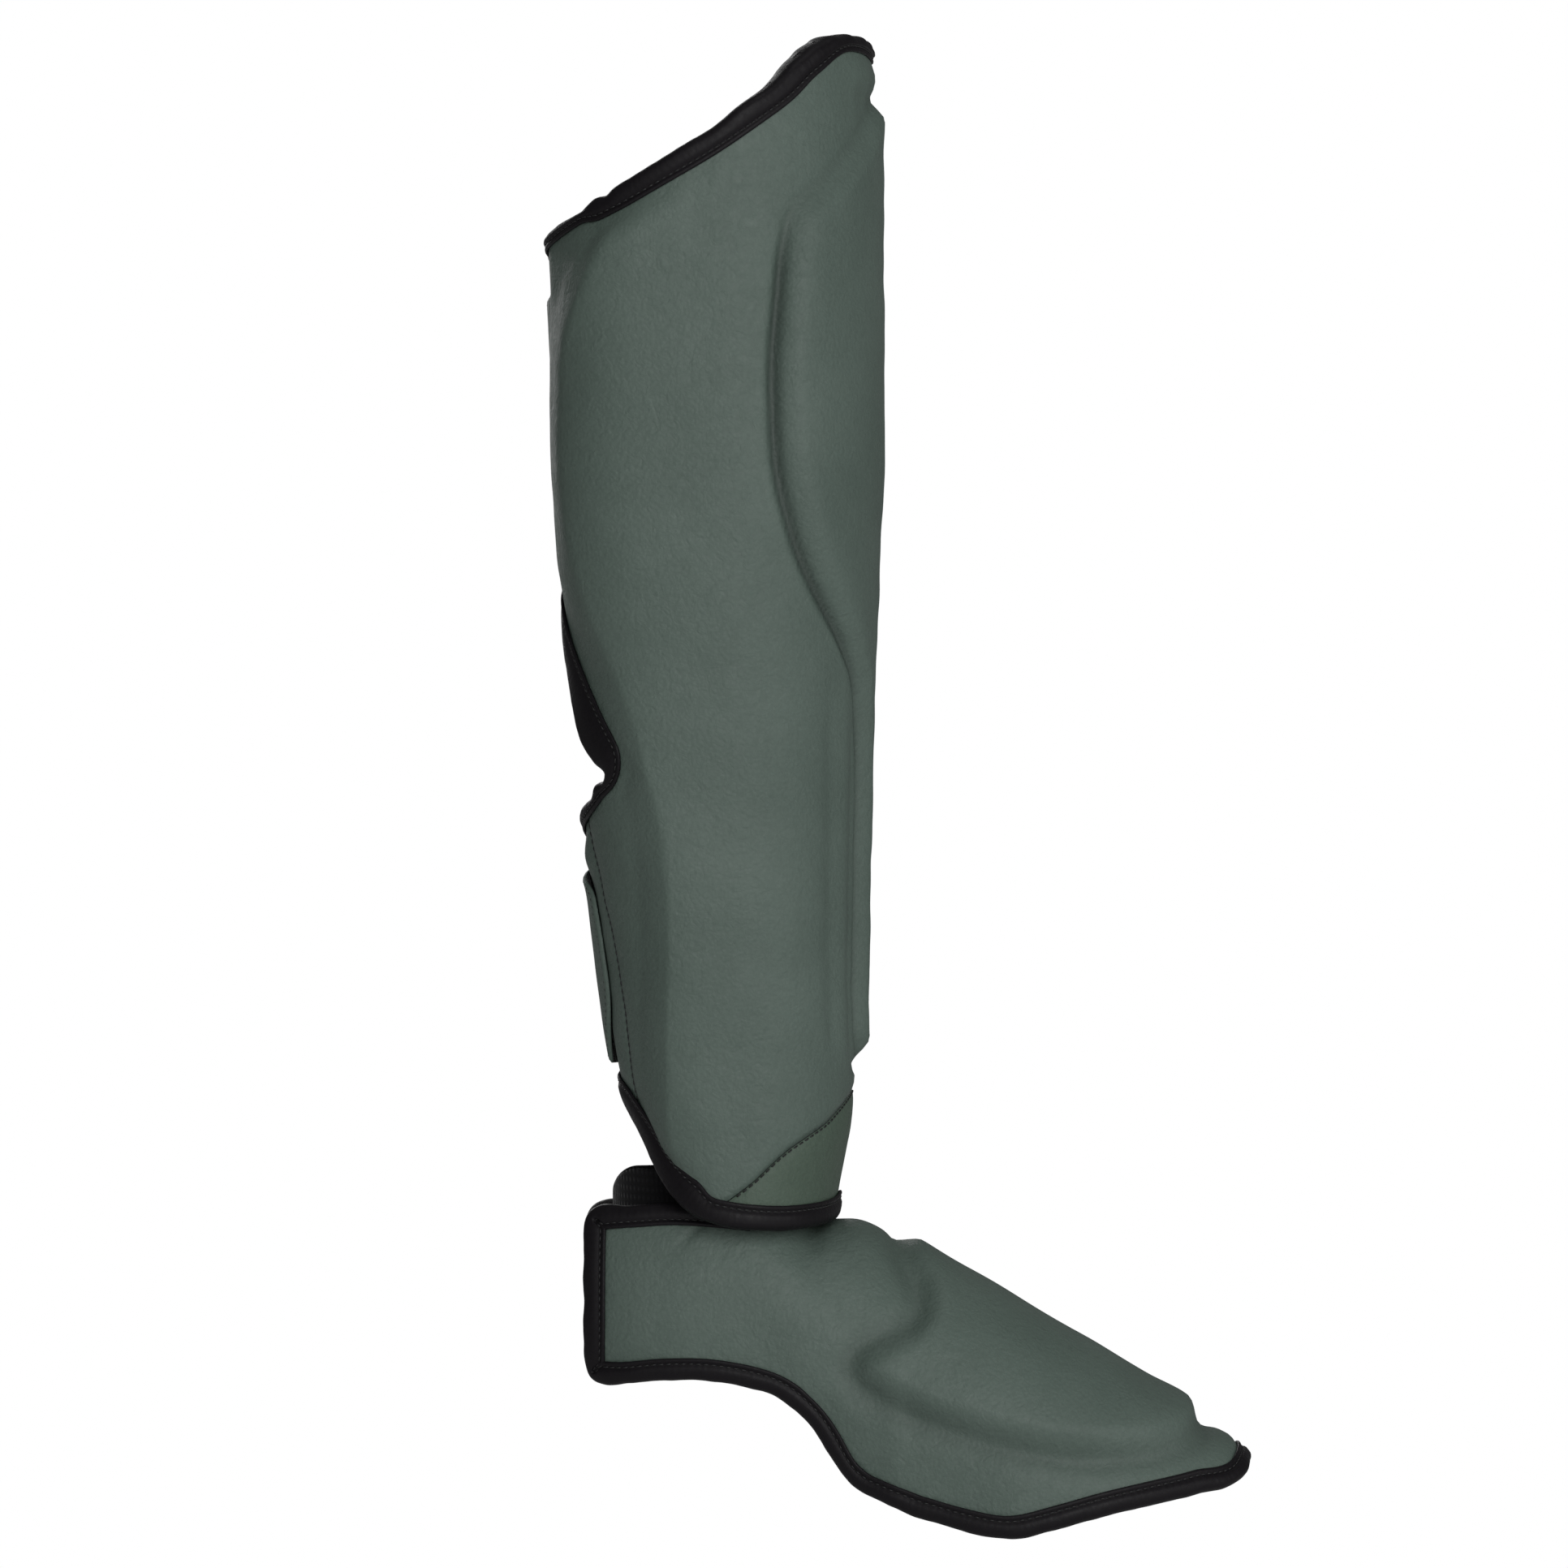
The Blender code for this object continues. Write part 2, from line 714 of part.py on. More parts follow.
def panel_grid():
    """Angle and height of the ankle panel's grid on the left side."""
    angle = side_columns()[None, :] + np.zeros((4, 1))
    low = rim_height(BOTTOM_RIM, angle)
    high = rim_height(CHEVRON, angle) - FIT / 2
    return angle, low + (high - low) * np.linspace(0, 1, 4)[:, None]


def wing_grid():
    """Angle and height of a lower wing's grid, from the wing seam to the back edge."""
    height = wing_rows()[:, None]
    start = edge_angle(WING_SEAM, height) + FIT / CALF_DEPTH
    end = edge_angle(BACK_EDGE, height)
    angle = start + (end - start) * np.linspace(0, 1, WING_COLUMNS + 1)[None, :]
    low = rim_height(BOTTOM_RIM, angle[:1])
    up = (height - height[0]) / (height[-1] - height[0])
    return angle, low + (height[-1] - low) * up


def both_sides(angle, height):
    """A left-side grid that starts at the front, with its mirror image joined on."""
    angle = np.concatenate([-angle[:, :0:-1], angle], axis=1)
    return angle, np.concatenate([height[:, :0:-1], height], axis=1)


def make_shell():
    middle = FRONT_COLUMNS + SIDE_COLUMNS
    add_wall("shin_shell", *shell_wall(*both_sides(*shell_grid())), leather(), middle)
    add_wall("ankle_panel", *shell_wall(*both_sides(*panel_grid())), leather(), FRONT_COLUMNS)
    angle, height = wing_grid()
    for side, hand in ((-1, "right"), (1, "left")):
        add_wall("lower_wing_" + hand, *shell_wall(side * angle, height), leather())


def bind_shell(name, angle, height, middle=0):
    """Binding along the first of two lines of the shell's grids; the second lies inside the panel."""
    edge, inner = shin_point(angle, height)
    add_binding(name, edge, inner, shin_normal(angle[0], height[0]), SHIN_WALL, middle)


def rim_lines():
    """The ankle rim and the line above it, from the front to the back edge of the left side."""
    panel, shell, wing = panel_grid(), shell_grid(), wing_grid()
    behind = slice(FRONT_COLUMNS + 1, None)
    angle, height = (
        np.concatenate([panel[i][:2], shell[i][:2, behind], wing[i][:2, 1:]], axis=1) for i in (0, 1)
    )
    return angle, height


def back_lines():
    """The back edge of the left side and the line inside it, between the two rims' bindings."""
    shell, wing = shell_grid(), wing_grid()
    notch = len(wing_rows()) + 1
    angle, height = (np.concatenate([wing[i][:, -1], shell[i][notch:, -1]]) for i in (0, 1))
    lines = [np.stack([angle, angle - math.radians(EDGE_CELL)]), np.stack([height, height])]
    return cut_ends(shin_point(angle, height), lines, BINDING_LEG + BINDING_PUFF + FIT)


def make_shell_bindings():
    angle, height = shell_grid()
    middle = FRONT_COLUMNS + SIDE_COLUMNS
    bind_shell("knee_binding", *both_sides(angle[:-3:-1], height[:-3:-1]), middle)
    bind_shell("ankle_binding", *both_sides(*rim_lines()), middle + WING_COLUMNS)
    angle, height = back_lines()
    for side, hand in ((-1, "right"), (1, "left")):
        bind_shell("back_binding_" + hand, side * angle, height)


def strap_lift(angle):
    """How far a calf strap's inside lies off the shell: it climbs over the back bindings."""
    from_back = np.degrees(np.abs(angle - math.pi))
    climb = ease((STRAP_LIFT_NONE - from_back) / (STRAP_LIFT_NONE - STRAP_LIFT_FULL))
    return FIT + (binding_clearance() + FIT) * climb


def add_calf_strap(name, edges, share, past):
    """A band bent round the back: its rows are shares of its height, its columns degrees past the back."""
    angle = math.pi + np.radians(past)
    height = (edges[0] + (edges[1] - edges[0]) * share) * SHIN_LENGTH + 0 * angle
    lift = strap_lift(angle)
    outside = shin_skin(angle, height, lift + STRAP)
    add_wall(name, outside, shin_skin(angle, height, lift), leather())


def make_calf_straps():
    """Each strap lies round the back of the wings, sewn to the left one and closed on the right one."""
    share = np.linspace(0, 1, STRAP_ROWS)[:, None]
    past = np.linspace(-UPPER_STRAP_FAR, UPPER_STRAP_NEAR, UPPER_STRAP_COLUMNS)[None, :]
    add_calf_strap("upper_calf_strap", UPPER_STRAP_EDGES, share, past + 0 * share)
    share, end = np.array(LOWER_STRAP_END).T[:, :, None]
    past = end * np.linspace(-1, 1, LOWER_STRAP_COLUMNS)[None, :]
    add_calf_strap("lower_calf_strap", LOWER_STRAP_EDGES, share, past)


# Pieces of the foot cover


def cover_wall(x, turn):
    outside = foot_skin(x, turn, foot_pad_rise(x, turn) * FOOT_PAD_RISE)
    return outside, foot_skin(x, turn, -FOOT_WALL)


def cover_grid():
    """Way round and share down of the cover's grid: its rows run round the ankle and its columns down."""
    half = np.linspace(0, 1, COVER_RAYS + 1) ** 1.25
    way = np.concatenate([-half[:0:-1], half])[None, :]
    down = np.append(np.linspace(0, COVER_LAST_ROW, COVER_ROWS), 1)[:, None]
    return foot_place(way + 0 * down, down + 0 * way)


def make_cover():
    add_wall("foot_cover", *cover_wall(*cover_grid()), leather(), COVER_RAYS)


def bind_cover(name, x, turn, middle=0):
    """Binding along the first of two lines of the cover's grid; the second lies inside the panel."""
    edge, inner = foot_point(x, turn)
    add_binding(name, edge, inner, foot_normal(x[0], turn[0]), FOOT_WALL, middle)


def make_cover_bindings():
    x, turn = cover_grid()
    bind_cover("sole_edge_binding", x[:-3:-1], turn[:-3:-1], COVER_RAYS)
    behind = x[0] <= COLLAR_BINDING_END * collar_reach()
    for side, hand in ((-1, "right"), (1, "left")):
        half = behind & (side * turn[0] > 0)
        bind_cover("collar_binding_" + hand, x[:2, half], turn[:2, half])
        columns = slice(-1, -3, -1) if side > 0 else slice(0, 2)
        lines = [x[:, columns].T, turn[:, columns].T]
        lines = cut_ends(foot_point(lines[0][0], lines[1][0]), lines, BINDING_LEG + 4 * BINDING_PUFF)
        bind_cover("heel_binding_" + hand, *lines)


def make_heel_strap():
    """A wide band behind the heel. Its ends are sewn inside the wings, and its top edge dips at the back."""
    sweep = np.radians(np.linspace(-90, 90, HEEL_STRAP_COLUMNS))[None, :]
    x = -HEEL_STRAP_ROOT - (HEEL_STRAP_BACK - HEEL_STRAP_ROOT) * np.cos(sweep)
    dip = np.clip(1 - (x + HEEL_STRAP_BACK) / HEEL_STRAP_ROUND, 0, 1)
    top = HEEL_STRAP_HIGH - HEEL_STRAP_ROUND * (1 - np.sqrt(1 - dip**2))
    height = HEEL_STRAP_LOW + (top - HEEL_STRAP_LOW) * np.linspace(0, 1, HEEL_STRAP_ROWS)[:, None]
    collar = read_foot(COLLAR_EDGE, -HEEL_STRAP_ROOT) * FOOT_DROP
    held = np.minimum(height, collar)
    root = -HEEL_STRAP_ROOT + 0 * held
    turn = foot_turn(root, held)
    inset = FOOT_WALL + binding_clearance() + 2 * FIT
    half = foot_point(root, turn)[..., 1] - inset / foot_normal(root, turn)[..., 1]
    outside = np.stack([x + 0 * half, half * np.sin(sweep), height], axis=-1)
    half_in = half - STRAP
    x_in = -HEEL_STRAP_ROOT - (HEEL_STRAP_BACK - HEEL_STRAP_ROOT - STRAP) * np.cos(sweep)
    inside = np.stack([x_in + 0 * half, half_in * np.sin(sweep), height], axis=-1)
    add_wall("heel_strap", outside, inside, webbing())


def make_sole_strap():
    """An elastic band under the foot, sewn inside the cover above its binding on each side."""
    x = np.linspace(-0.5, 0.5, STRAP_ROWS)[None, :] * SOLE_STRAP_WIDTH + SOLE_STRAP_PLACE
    flat = read_foot(FOOT_EDGE, x).max() * FOOT_DROP + BINDING_LEG + 2 * BINDING_PUFF
    tab = SOLE_STRAP_TAB * np.array([1, 0.5, 0.23])
    rise = np.concatenate([tab, np.zeros(SOLE_STRAP_SPANS + 1), tab[::-1]])[:, None]
    span = (1 - 4 * STRAP / FOOT_WIDTH) * np.linspace(-1, 1, SOLE_STRAP_SPANS + 1)
    across = np.concatenate([[-1, -1, -1], span, [1, 1, 1]])[:, None]
    held = flat + rise + 0 * x
    inner = foot_skin(x + 0 * held, foot_turn(x + 0 * held, held), -FOOT_WALL)[..., 1]
    half = inner - 3 * FIT - STRAP / 2
    sag = SOLE_STRAP_SAG * (1 - across**2)
    line = np.stack([x + 0 * held, half * across, held - sag], axis=-1)
    along = np.gradient(line, axis=0)
    normal = unit(np.cross(along, np.gradient(line, axis=1)))
    add_wall("sole_strap", line - normal * STRAP / 2, line + normal * STRAP / 2, webbing())


def main():
    for old in list(bpy.data.objects):
        bpy.data.objects.remove(old, do_unlink=True)
    make_shell()
    make_shell_bindings()
    make_calf_straps()
    make_cover()
    make_cover_bindings()
    make_heel_strap()
    make_sole_strap()


main()
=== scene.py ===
"""Looks of a muay thai shin guard: padded leather walls, rolled bindings, stitching and straps, in metres.
Every surface is worked out on a grid of two parameters, from the same sections as the solids."""

import functools
import math

import bpy
import numpy as np
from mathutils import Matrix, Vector


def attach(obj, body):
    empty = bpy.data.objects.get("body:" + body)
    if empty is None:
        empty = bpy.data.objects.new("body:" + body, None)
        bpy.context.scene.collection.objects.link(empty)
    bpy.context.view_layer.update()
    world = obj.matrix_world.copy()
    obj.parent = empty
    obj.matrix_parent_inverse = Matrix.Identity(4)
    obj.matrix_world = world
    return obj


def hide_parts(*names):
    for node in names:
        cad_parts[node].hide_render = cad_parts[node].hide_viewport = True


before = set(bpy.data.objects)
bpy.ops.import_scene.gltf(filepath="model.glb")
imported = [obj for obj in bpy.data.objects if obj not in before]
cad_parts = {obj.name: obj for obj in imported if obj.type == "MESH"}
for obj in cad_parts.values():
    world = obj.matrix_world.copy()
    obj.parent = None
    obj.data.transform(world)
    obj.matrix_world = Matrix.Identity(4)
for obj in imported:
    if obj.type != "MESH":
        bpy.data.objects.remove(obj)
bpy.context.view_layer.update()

# Shin shell
SHIN_LENGTH = 0.410
CALF_DEPTH = 0.107
CALF_WIDTH = 0.132
BACK_GAP = 0.0155
SHIN_WALL = 0.0085
SHIN_PAD_RISE = 0.0045
SHIN_PAD_CORE = 0.005
FRONT_SQUARENESS = 2.2
BACK_SQUARENESS = 2.4
UPPER_SQUARENESS = 1.0
TUCK = 0.0048
TUCK_START = 150.0
TUCK_PAST = 1.04

# Foot cover
HEEL_REACH = 0.0485
TOE_REACH = 0.175
FOOT_DROP = 0.1086
FOOT_WIDTH = 0.110
FOOT_WALL = 0.0070
FOOT_PAD_RISE = 0.0042
FOOT_SQUARENESS = 2.2
FOOT_UNDERCUT = 1.4

# Rolled binding round every edge
BINDING = 0.0010
BINDING_PUFF = 0.0005
BINDING_LEG = 0.0060
BINDING_ROLL = 0.0030
FOLD_FIT = 0.0007
SLOT = 0.0003
STITCH_LINE = 0.0019
CORNER_ROUNDS = 14
NOTCH_LEG = 0.0045
BACK_LEG_LESS = 0.0032
ANKLE_LEG = 0.0030
KNEE_LEG_LESS = 0.0028
CALF_LEG_LESS = 0.0020
CALF_ROLL_LESS = 0.0010
TOE_LEG_LESS = 0.0025
SOLE_ROLL_LESS = 0.0006
TOE_ROLL_MORE = 0.0016
HEEL_ROLL_MORE = 0.0008

# Straps
STRAP = 0.0018
STRAP_WORN = 0.0014
UPPER_STRAP_EDGES = (0.610, 0.776)
LOWER_STRAP_EDGES = (0.132, 0.295)
HEEL_STRAP_LOW = -0.035
HEEL_STRAP_HIGH = 0.0174
HEEL_STRAP_BACK = 0.042
HEEL_STRAP_ROOT = 0.015
HEEL_STRAP_ROUND = 0.0084
SOLE_STRAP_WIDTH = 0.036
SOLE_STRAP_PLACE = 0.094
SOLE_STRAP_TAB = 0.013
SOLE_STRAP_SAG = 0.002
FIT = 0.0003

# Metres of surface that one radian covers, round the leg and over the foot
CALF_RADIUS = 0.055
SHIN_RADIUS = 0.050
FOOT_RADIUS = 0.045
FOOT_INSIDE_RADIUS = 0.040

# Relief of the leather
WRINKLE_DEPTH = 0.00045
CREASE_DEPTH = 0.0012
# SHIN_CREASE and FOOT_CREASE are the widths of the crease lines, along which the leather is dented and its
# colour darkened as painted shade.
SHIN_CREASE = 0.0016
FOOT_CREASE = 0.0045
SHIN_GROOVE = 0.0016
SHIN_PAD_STEP = 0.0080
SHIN_CORE_STEP = 0.012
GATHER_HEIGHT = 0.0006
GATHER_REACH = 0.014
PLEAT_DEPTH = 0.0022
PLEAT_PLACE = 0.0435
PLEAT_SLANT = 0.35
COLLAR_PLEAT_DEPTH = 0.0010
COLLAR_PLEAT_PLACE = -0.012

# Rows of bells, each with its height, its place and its width: beside the lower shin pad, under the knee
# rim at the front, the pinch under the shin pad, the roll's lumps over the upper side of the notch, and
# its kink at the back of the knee
SIDE_BAND = ((0.0009, 0.034, 0.005), (-0.0006, 0.025, 0.003), (-0.0007, 0.044, 0.004))
KNEE_CROWN = ((0.0018, 0.3925, 0.005), (-0.0008, 0.385, 0.0035))
PAD_PINCH = ((0.0016, 0.128 * SHIN_LENGTH, 0.0022),)
NOTCH_LUMPS = ((0.0024, 0.169, 0.011), (-0.0022, 0.1525, 0.003))
KNEE_KINK = ((-0.0011, -0.043, 0.0022),)

# Fuller places of the section behind, as such bells over the angle, and the wing's over its height's share
BACK_FULLNESS = ((0.0022, math.radians(154.0), 0.15),)
WING_FULLNESS = ((0.0022, math.radians(160.0), 0.13),)
WING_FULL_AT = ((1.0, 0.303, 0.017),)

# Eased climbs, each with its start and its reach. Those of the shell as shares of SHIN_LENGTH:
SQUARE_FROM = (0.45, 0.15)
SQUARE_TO = (0.86, -0.08)
FULL_FROM = (0.62, 0.14)
FIRM_FROM = (0.42, 0.10)
SOFT_FROM = (0.78, 0.07)
BAND_FROM = (0.12, 0.05)
BAND_TO = (0.50, -0.12)
# round the leg, in radians from the front:
CROWN_TO = (0.75, -0.40)
PINCH_TO = (0.50, -0.25)
# along the shell's edge, by height and by distance forward, in metres, and by angle in degrees:
BACK_FROM = (0.046, 0.008)
BACK_TO = (0.325, -0.008)
NOTCH_FROM = (0.146, 0.012)
NOTCH_TO = (0.222, -0.016)
KNEE_FROM = (0.300, 0.020)
KNEE_FRONT = (0.026, 0.014)
KNEE_BACK = (-0.046, -0.006)
KNEE_GATHERED = (0.018, 0.014)
ANKLE_TO = (0.046, -0.008)
ANKLE_BEHIND = (100, 12)
# and along the cover's edge, by height and by distance forward:
SOLE_FROM = (-0.045, -0.006)
TOE_FROM = (0.158, 0.014)
HEEL_FROM = (-0.036, -0.008)

# Ridge of the side fold: its height, its reach to each side, and how far its crest and foot are rounded
FOLD_HEIGHT = 0.0042
FOLD_FRONT = 0.034
FOLD_BACK = 0.011
FOLD_CREST = 0.05
FOLD_FOOT = 0.10
FOLD_SINK = 0.03

# Thread
STITCH_LENGTH = 0.0020
STITCH_PITCH = 0.0026
THREAD = 0.00032
SEAM_STITCH = 0.0007
CHEVRON_STITCHED = 92.0
WING_STITCHED = (0.093, 0.332)

# Sections of the shell: height as a share of SHIN_LENGTH; how far its outside lies in front of the leg's
# axis and behind it, as shares of CALF_DEPTH; and its half width as a share of CALF_WIDTH.
SHIN_SECTIONS = (
    # height, front, back, half_width
    (-0.020, 0.313, -0.266, 0.390),
    (0.000, 0.322, -0.282, 0.394),
    (0.034, 0.343, -0.294, 0.398),
    (0.076, 0.374, -0.324, 0.405),
    (0.112, 0.386, -0.370, 0.409),
    (0.156, 0.388, -0.402, 0.419),
    (0.205, 0.387, -0.428, 0.432),
    (0.280, 0.391, -0.464, 0.446),
    (0.341, 0.399, -0.497, 0.455),
    (0.410, 0.406, -0.526, 0.470),
    (0.478, 0.415, -0.547, 0.481),
    (0.546, 0.426, -0.561, 0.492),
    (0.615, 0.439, -0.568, 0.500),
    (0.751, 0.441, -0.573, 0.500),
    (0.829, 0.439, -0.591, 0.492),
    (0.893, 0.436, -0.602, 0.481),
    (0.956, 0.438, -0.604, 0.466),
    (1.005, 0.430, -0.604, 0.455),
)

# Edge of the wall at the knee: angle round the leg from the front in degrees, height as a share.
TOP_RIM = (
    (-14, 0.981), (0, 0.978), (14, 0.981), (28, 0.984), (45, 0.980), (57, 0.965), (66, 0.944),
    (75, 0.927), (90, 0.899), (105, 0.875), (121, 0.851), (132, 0.839), (145, 0.8275), (158, 0.817),
    (172, 0.806), (180, 0.803),
)

# Edge of the wall at the ankle, in the same columns.
BOTTOM_RIM = (
    (-26, 0.0050), (0, 0.0088), (26, 0.0050), (56, 0.0010), (78, -0.0007), (98, 0.0044), (108, 0.0110),
    (117, 0.0256), (126, 0.0427), (133, 0.0610), (142, 0.0805), (153, 0.1012), (172, 0.1122),
    (180, 0.1134),
)

# Stitched seam over the ankle panel, in the same columns: a chevron that comes down to the rim each side.
CHEVRON = (
    (0, 0.1085), (20, 0.1037), (35, 0.0946), (50, 0.0827), (64, 0.0698), (74, 0.0566), (86, 0.0330),
    (97, 0.0146), (105, 0.0024),
)
PANEL_END = 101.0

# Seam between the shell and each lower wing: height as a share, angle as a share of the wing angle.
WING_SEAM = (
    (0.080, 0.808), (0.150, 0.800), (0.200, 0.800), (0.233, 0.811), (0.267, 0.840), (0.302, 0.863),
    (0.338, 0.887),
)

# Free back edge of each side, in the same columns: straight wings with the calf notch between them.
BACK_EDGE = (
    (0.100, 1.000), (0.300, 1.000), (0.316, 0.996), (0.327, 0.968), (0.335, 0.916), (0.3425, 0.860),
    (0.351, 0.812), (0.361, 0.776), (0.372, 0.758), (0.384, 0.768), (0.402, 0.795), (0.423, 0.826),
    (0.444, 0.862), (0.464, 0.895), (0.485, 0.928), (0.505, 0.960), (0.530, 0.988), (0.560, 1.000),
    (0.800, 1.000),
)
NOTCH_TIP = 0.338
WING_TOP = 0.3355

# Crease round the raised shin pad: height as a share, angle from the front in degrees.
SHIN_PAD = (
    (0.132, 0), (0.133, 10), (0.146, 16), (0.170, 18), (0.341, 18), (0.400, 20), (0.447, 29), (0.482, 41),
    (0.509, 51), (0.536, 59), (0.567, 65), (0.608, 70), (0.639, 72), (0.703, 73), (0.738, 72),
    (0.799, 69), (0.837, 66), (0.852, 61), (0.866, 53), (0.888, 42), (0.905, 32), (0.922, 23),
    (0.939, 12), (0.943, 0),
)

# Fold where the flat side of the wall turns to the back: height as a share, distance behind the leg's
# axis as a share of CALF_DEPTH, and how sharp it is.
SIDE_FOLD = (
    (0.020, 0.175, 0.80),
    (0.068, 0.183, 1.00),
    (0.137, 0.196, 1.00),
    (0.240, 0.196, 1.00),
    (0.328, 0.222, 0.95),
    (0.369, 0.262, 0.90),
    (0.410, 0.301, 0.85),
    (0.451, 0.353, 0.80),
    (0.505, 0.432, 0.90),
    (0.543, 0.478, 1.00),
    (0.600, 0.512, 1.05),
    (0.669, 0.522, 1.10),
    (0.740, 0.494, 1.20),
    (0.792, 0.430, 1.20),
    (0.826, 0.368, 1.00),
    (0.874, 0.255, 0.45),
    (0.910, 0.190, 0.00),
)

# Near end of the lower strap: share of the strap's height, degrees past the back of the leg.
LOWER_STRAP_END = (
    (0.00, 20), (0.15, 25), (0.35, 32), (0.55, 31.5), (0.75, 29), (0.90, 24), (1.00, 10),
)
UPPER_STRAP_NEAR = 15.0
UPPER_STRAP_FAR = 32.0
STRAP_LIFT_FULL = 12.0
STRAP_LIFT_NONE = 30.0

# Sections of the foot cover. Station -1 is the wings' back edge, 0 the leg's axis, 1 the collar's front
# and 2 the toe edge. Ridge and centre heights are shares of FOOT_DROP. The half width adds a share of
# the room inside the shell's ankle rim and a share of half FOOT_WIDTH.
FOOT_SECTIONS = (
    # station, ridge, centre, ankle_share, foot_share
    (-1.000, 0.203, -0.276, 0.678, 0.000),
    (-0.907, 0.203, -0.276, 0.766, 0.000),
    (-0.784, 0.207, -0.276, 0.846, 0.000),
    (-0.515, 0.212, -0.276, 0.942, 0.000),
    (-0.165, 0.221, -0.285, 1.002, 0.000),
    (0.250, 0.203, -0.304, 1.021, 0.000),
    (0.625, 0.115, -0.322, 1.034, 0.000),
    (0.833, 0.046, -0.341, 1.044, 0.000),
    (1.000, -0.0025, -0.359, 1.053, 0.000),
    (1.066, -0.0045, -0.433, 0.800, 0.214),
    (1.129, -0.0080, -0.525, 0.500, 0.470),
    (1.162, -0.026, -0.571, 0.350, 0.602),
    (1.203, -0.062, -0.640, 0.200, 0.740),
    (1.238, -0.094, -0.691, 0.100, 0.823),
    (1.295, -0.141, -0.737, 0.000, 0.927),
    (1.464, -0.277, -0.856, 0.000, 1.000),
    (1.636, -0.418, -0.884, 0.000, 0.971),
    (1.768, -0.526, -0.884, 0.000, 0.880),
    (1.852, -0.594, -0.875, 0.000, 0.778),
    (1.907, -0.652, -0.861, 0.000, 0.691),
    (1.954, -0.678, -0.854, 0.000, 0.582),
    (1.977, -0.697, -0.852, 0.000, 0.521),
    (2.000, -0.745, -0.850, 0.000, 0.455),
)

# Lower edge of the cover's wall: station, height as a share of FOOT_DROP.
FOOT_EDGE = (
    (-1.000, -0.488), (-0.837, -0.495), (-0.495, -0.483), (-0.144, -0.485), (0.000, -0.495),
    (0.408, -0.516), (0.687, -0.541), (0.917, -0.580), (1.020, -0.626), (1.060, -0.709), (1.086, -0.773),
    (1.129, -0.832), (1.184, -0.867), (1.238, -0.898), (1.351, -0.946), (1.464, -0.972), (1.574, -0.939),
    (1.682, -0.899), (1.795, -0.866), (1.852, -0.850), (1.907, -0.833), (1.960, -0.806), (1.987, -0.780),
    (2.000, -0.745),
)

# Upper edge of the cover's wall, round the ankle, in the same columns.
COLLAR_EDGE = (
    (-1.000, 0.012), (-0.860, 0.023), (-0.715, 0.027), (-0.454, 0.035), (0.000, 0.023), (0.625, 0.0046),
    (1.000, -0.0025),
)

# Rays of the cover from its collar to its lower edge, from the front centre line to the back edge.
RAYS = (
    # share of the way round, collar station, edge station
    (0.00, 1.000, 2.000),
    (0.04, 0.998, 1.995),
    (0.08, 0.987, 1.983),
    (0.16, 0.950, 1.940),
    (0.24, 0.883, 1.868),
    (0.32, 0.783, 1.768),
    (0.40, 0.646, 1.636),
    (0.48, 0.479, 1.490),
    (0.56, 0.271, 1.338),
    (0.64, 0.000, 1.192),
    (0.72, -0.165, 1.060),
    (0.80, -0.371, 0.625),
    (0.90, -0.680, -0.309),
    (1.00, -1.000, -1.000),
)

# Crease round the raised foot pad seen from the side: station, height as a share of FOOT_DROP.
FOOT_PAD = (
    (1.203, 0.300), (1.203, -0.062), (1.212, -0.090), (1.232, -0.160), (1.258, -0.228), (1.248, -0.302),
    (1.190, -0.345), (1.128, -0.382), (1.098, -0.438), (1.110, -0.508), (1.182, -0.578), (1.300, -0.648),
    (1.440, -0.706), (1.574, -0.748), (1.760, -0.752), (1.875, -0.714), (1.925, -0.645), (1.925, 0.300),
)

# Where the collar binding of each wing stops, under the ankle rim.
COLLAR_BINDING_END = 0.25

# Fineness of the grids: metres from one line to the next, and how many lines.
SHELL_STEP = 0.0019
PATH_STEP = 0.0011
FRONT_COLUMNS = 79
SIDE_COLUMNS = 41
PANEL_ROWS = 26
WING_COLUMNS = 22
COVER_ROWS = 100
COVER_COLUMNS = 135
COVER_CROWDING = 1.2
CALF_STRAP_GRID = (56, 110)
HEEL_STRAP_GRID = (44, 120)
SOLE_STRAP_GRID = (81, 41)

# The notch's fine rows, as shares of SHIN_LENGTH: where they start and end, and where the rows above start.
NOTCH_ROWS = (0.3395, 0.420)
ABOVE_NOTCH = 0.424

# Camera and floor
CAMERA_AWAY = 4.0
VIEW_SIDE = 0.541
SENSOR = 0.036
VIEW_CENTRE = Vector((0.0171, 0.0, 0.1495))
FLOOR_DROP = 0.30
FLOOR_REACH = 2.4
WORLD_LIGHT = 0.12


# Curves and small helpers


def smooth(at, knots, values):
    """A cubic between each two knots whose slope at a knot is the weighted mean of the two chords there,
    and straight beyond the end knots."""
    knots, values = np.asarray(knots, float), np.asarray(values, float)
    gaps = np.diff(knots)
    rises = np.diff(values) / gaps
    inner = (rises[:-1] * gaps[1:] + rises[1:] * gaps[:-1]) / (gaps[:-1] + gaps[1:])
    slopes = np.concatenate([rises[:1], inner, rises[-1:]])
    place = np.clip(at, knots[0], knots[-1])
    i = np.clip(np.searchsorted(knots, place, side="right") - 1, 0, len(gaps) - 1)
    t = (place - knots[i]) / gaps[i]
    start = (1 + 2 * t) * (1 - t) ** 2 * values[i] + t * (1 - t) ** 2 * gaps[i] * slopes[i]
    end = t**2 * (3 - 2 * t) * values[i + 1] + t**2 * (t - 1) * gaps[i] * slopes[i + 1]
    beyond = np.where(np.asarray(at) < knots[0], slopes[0], slopes[-1]) * (at - place)
    return start + end + beyond


def read(table, at, column=1):
    return smooth(at, [row[0] for row in table], [row[column] for row in table])


def ease(share):
    share = np.clip(share, 0, 1)
    return share * share * (3 - 2 * share)


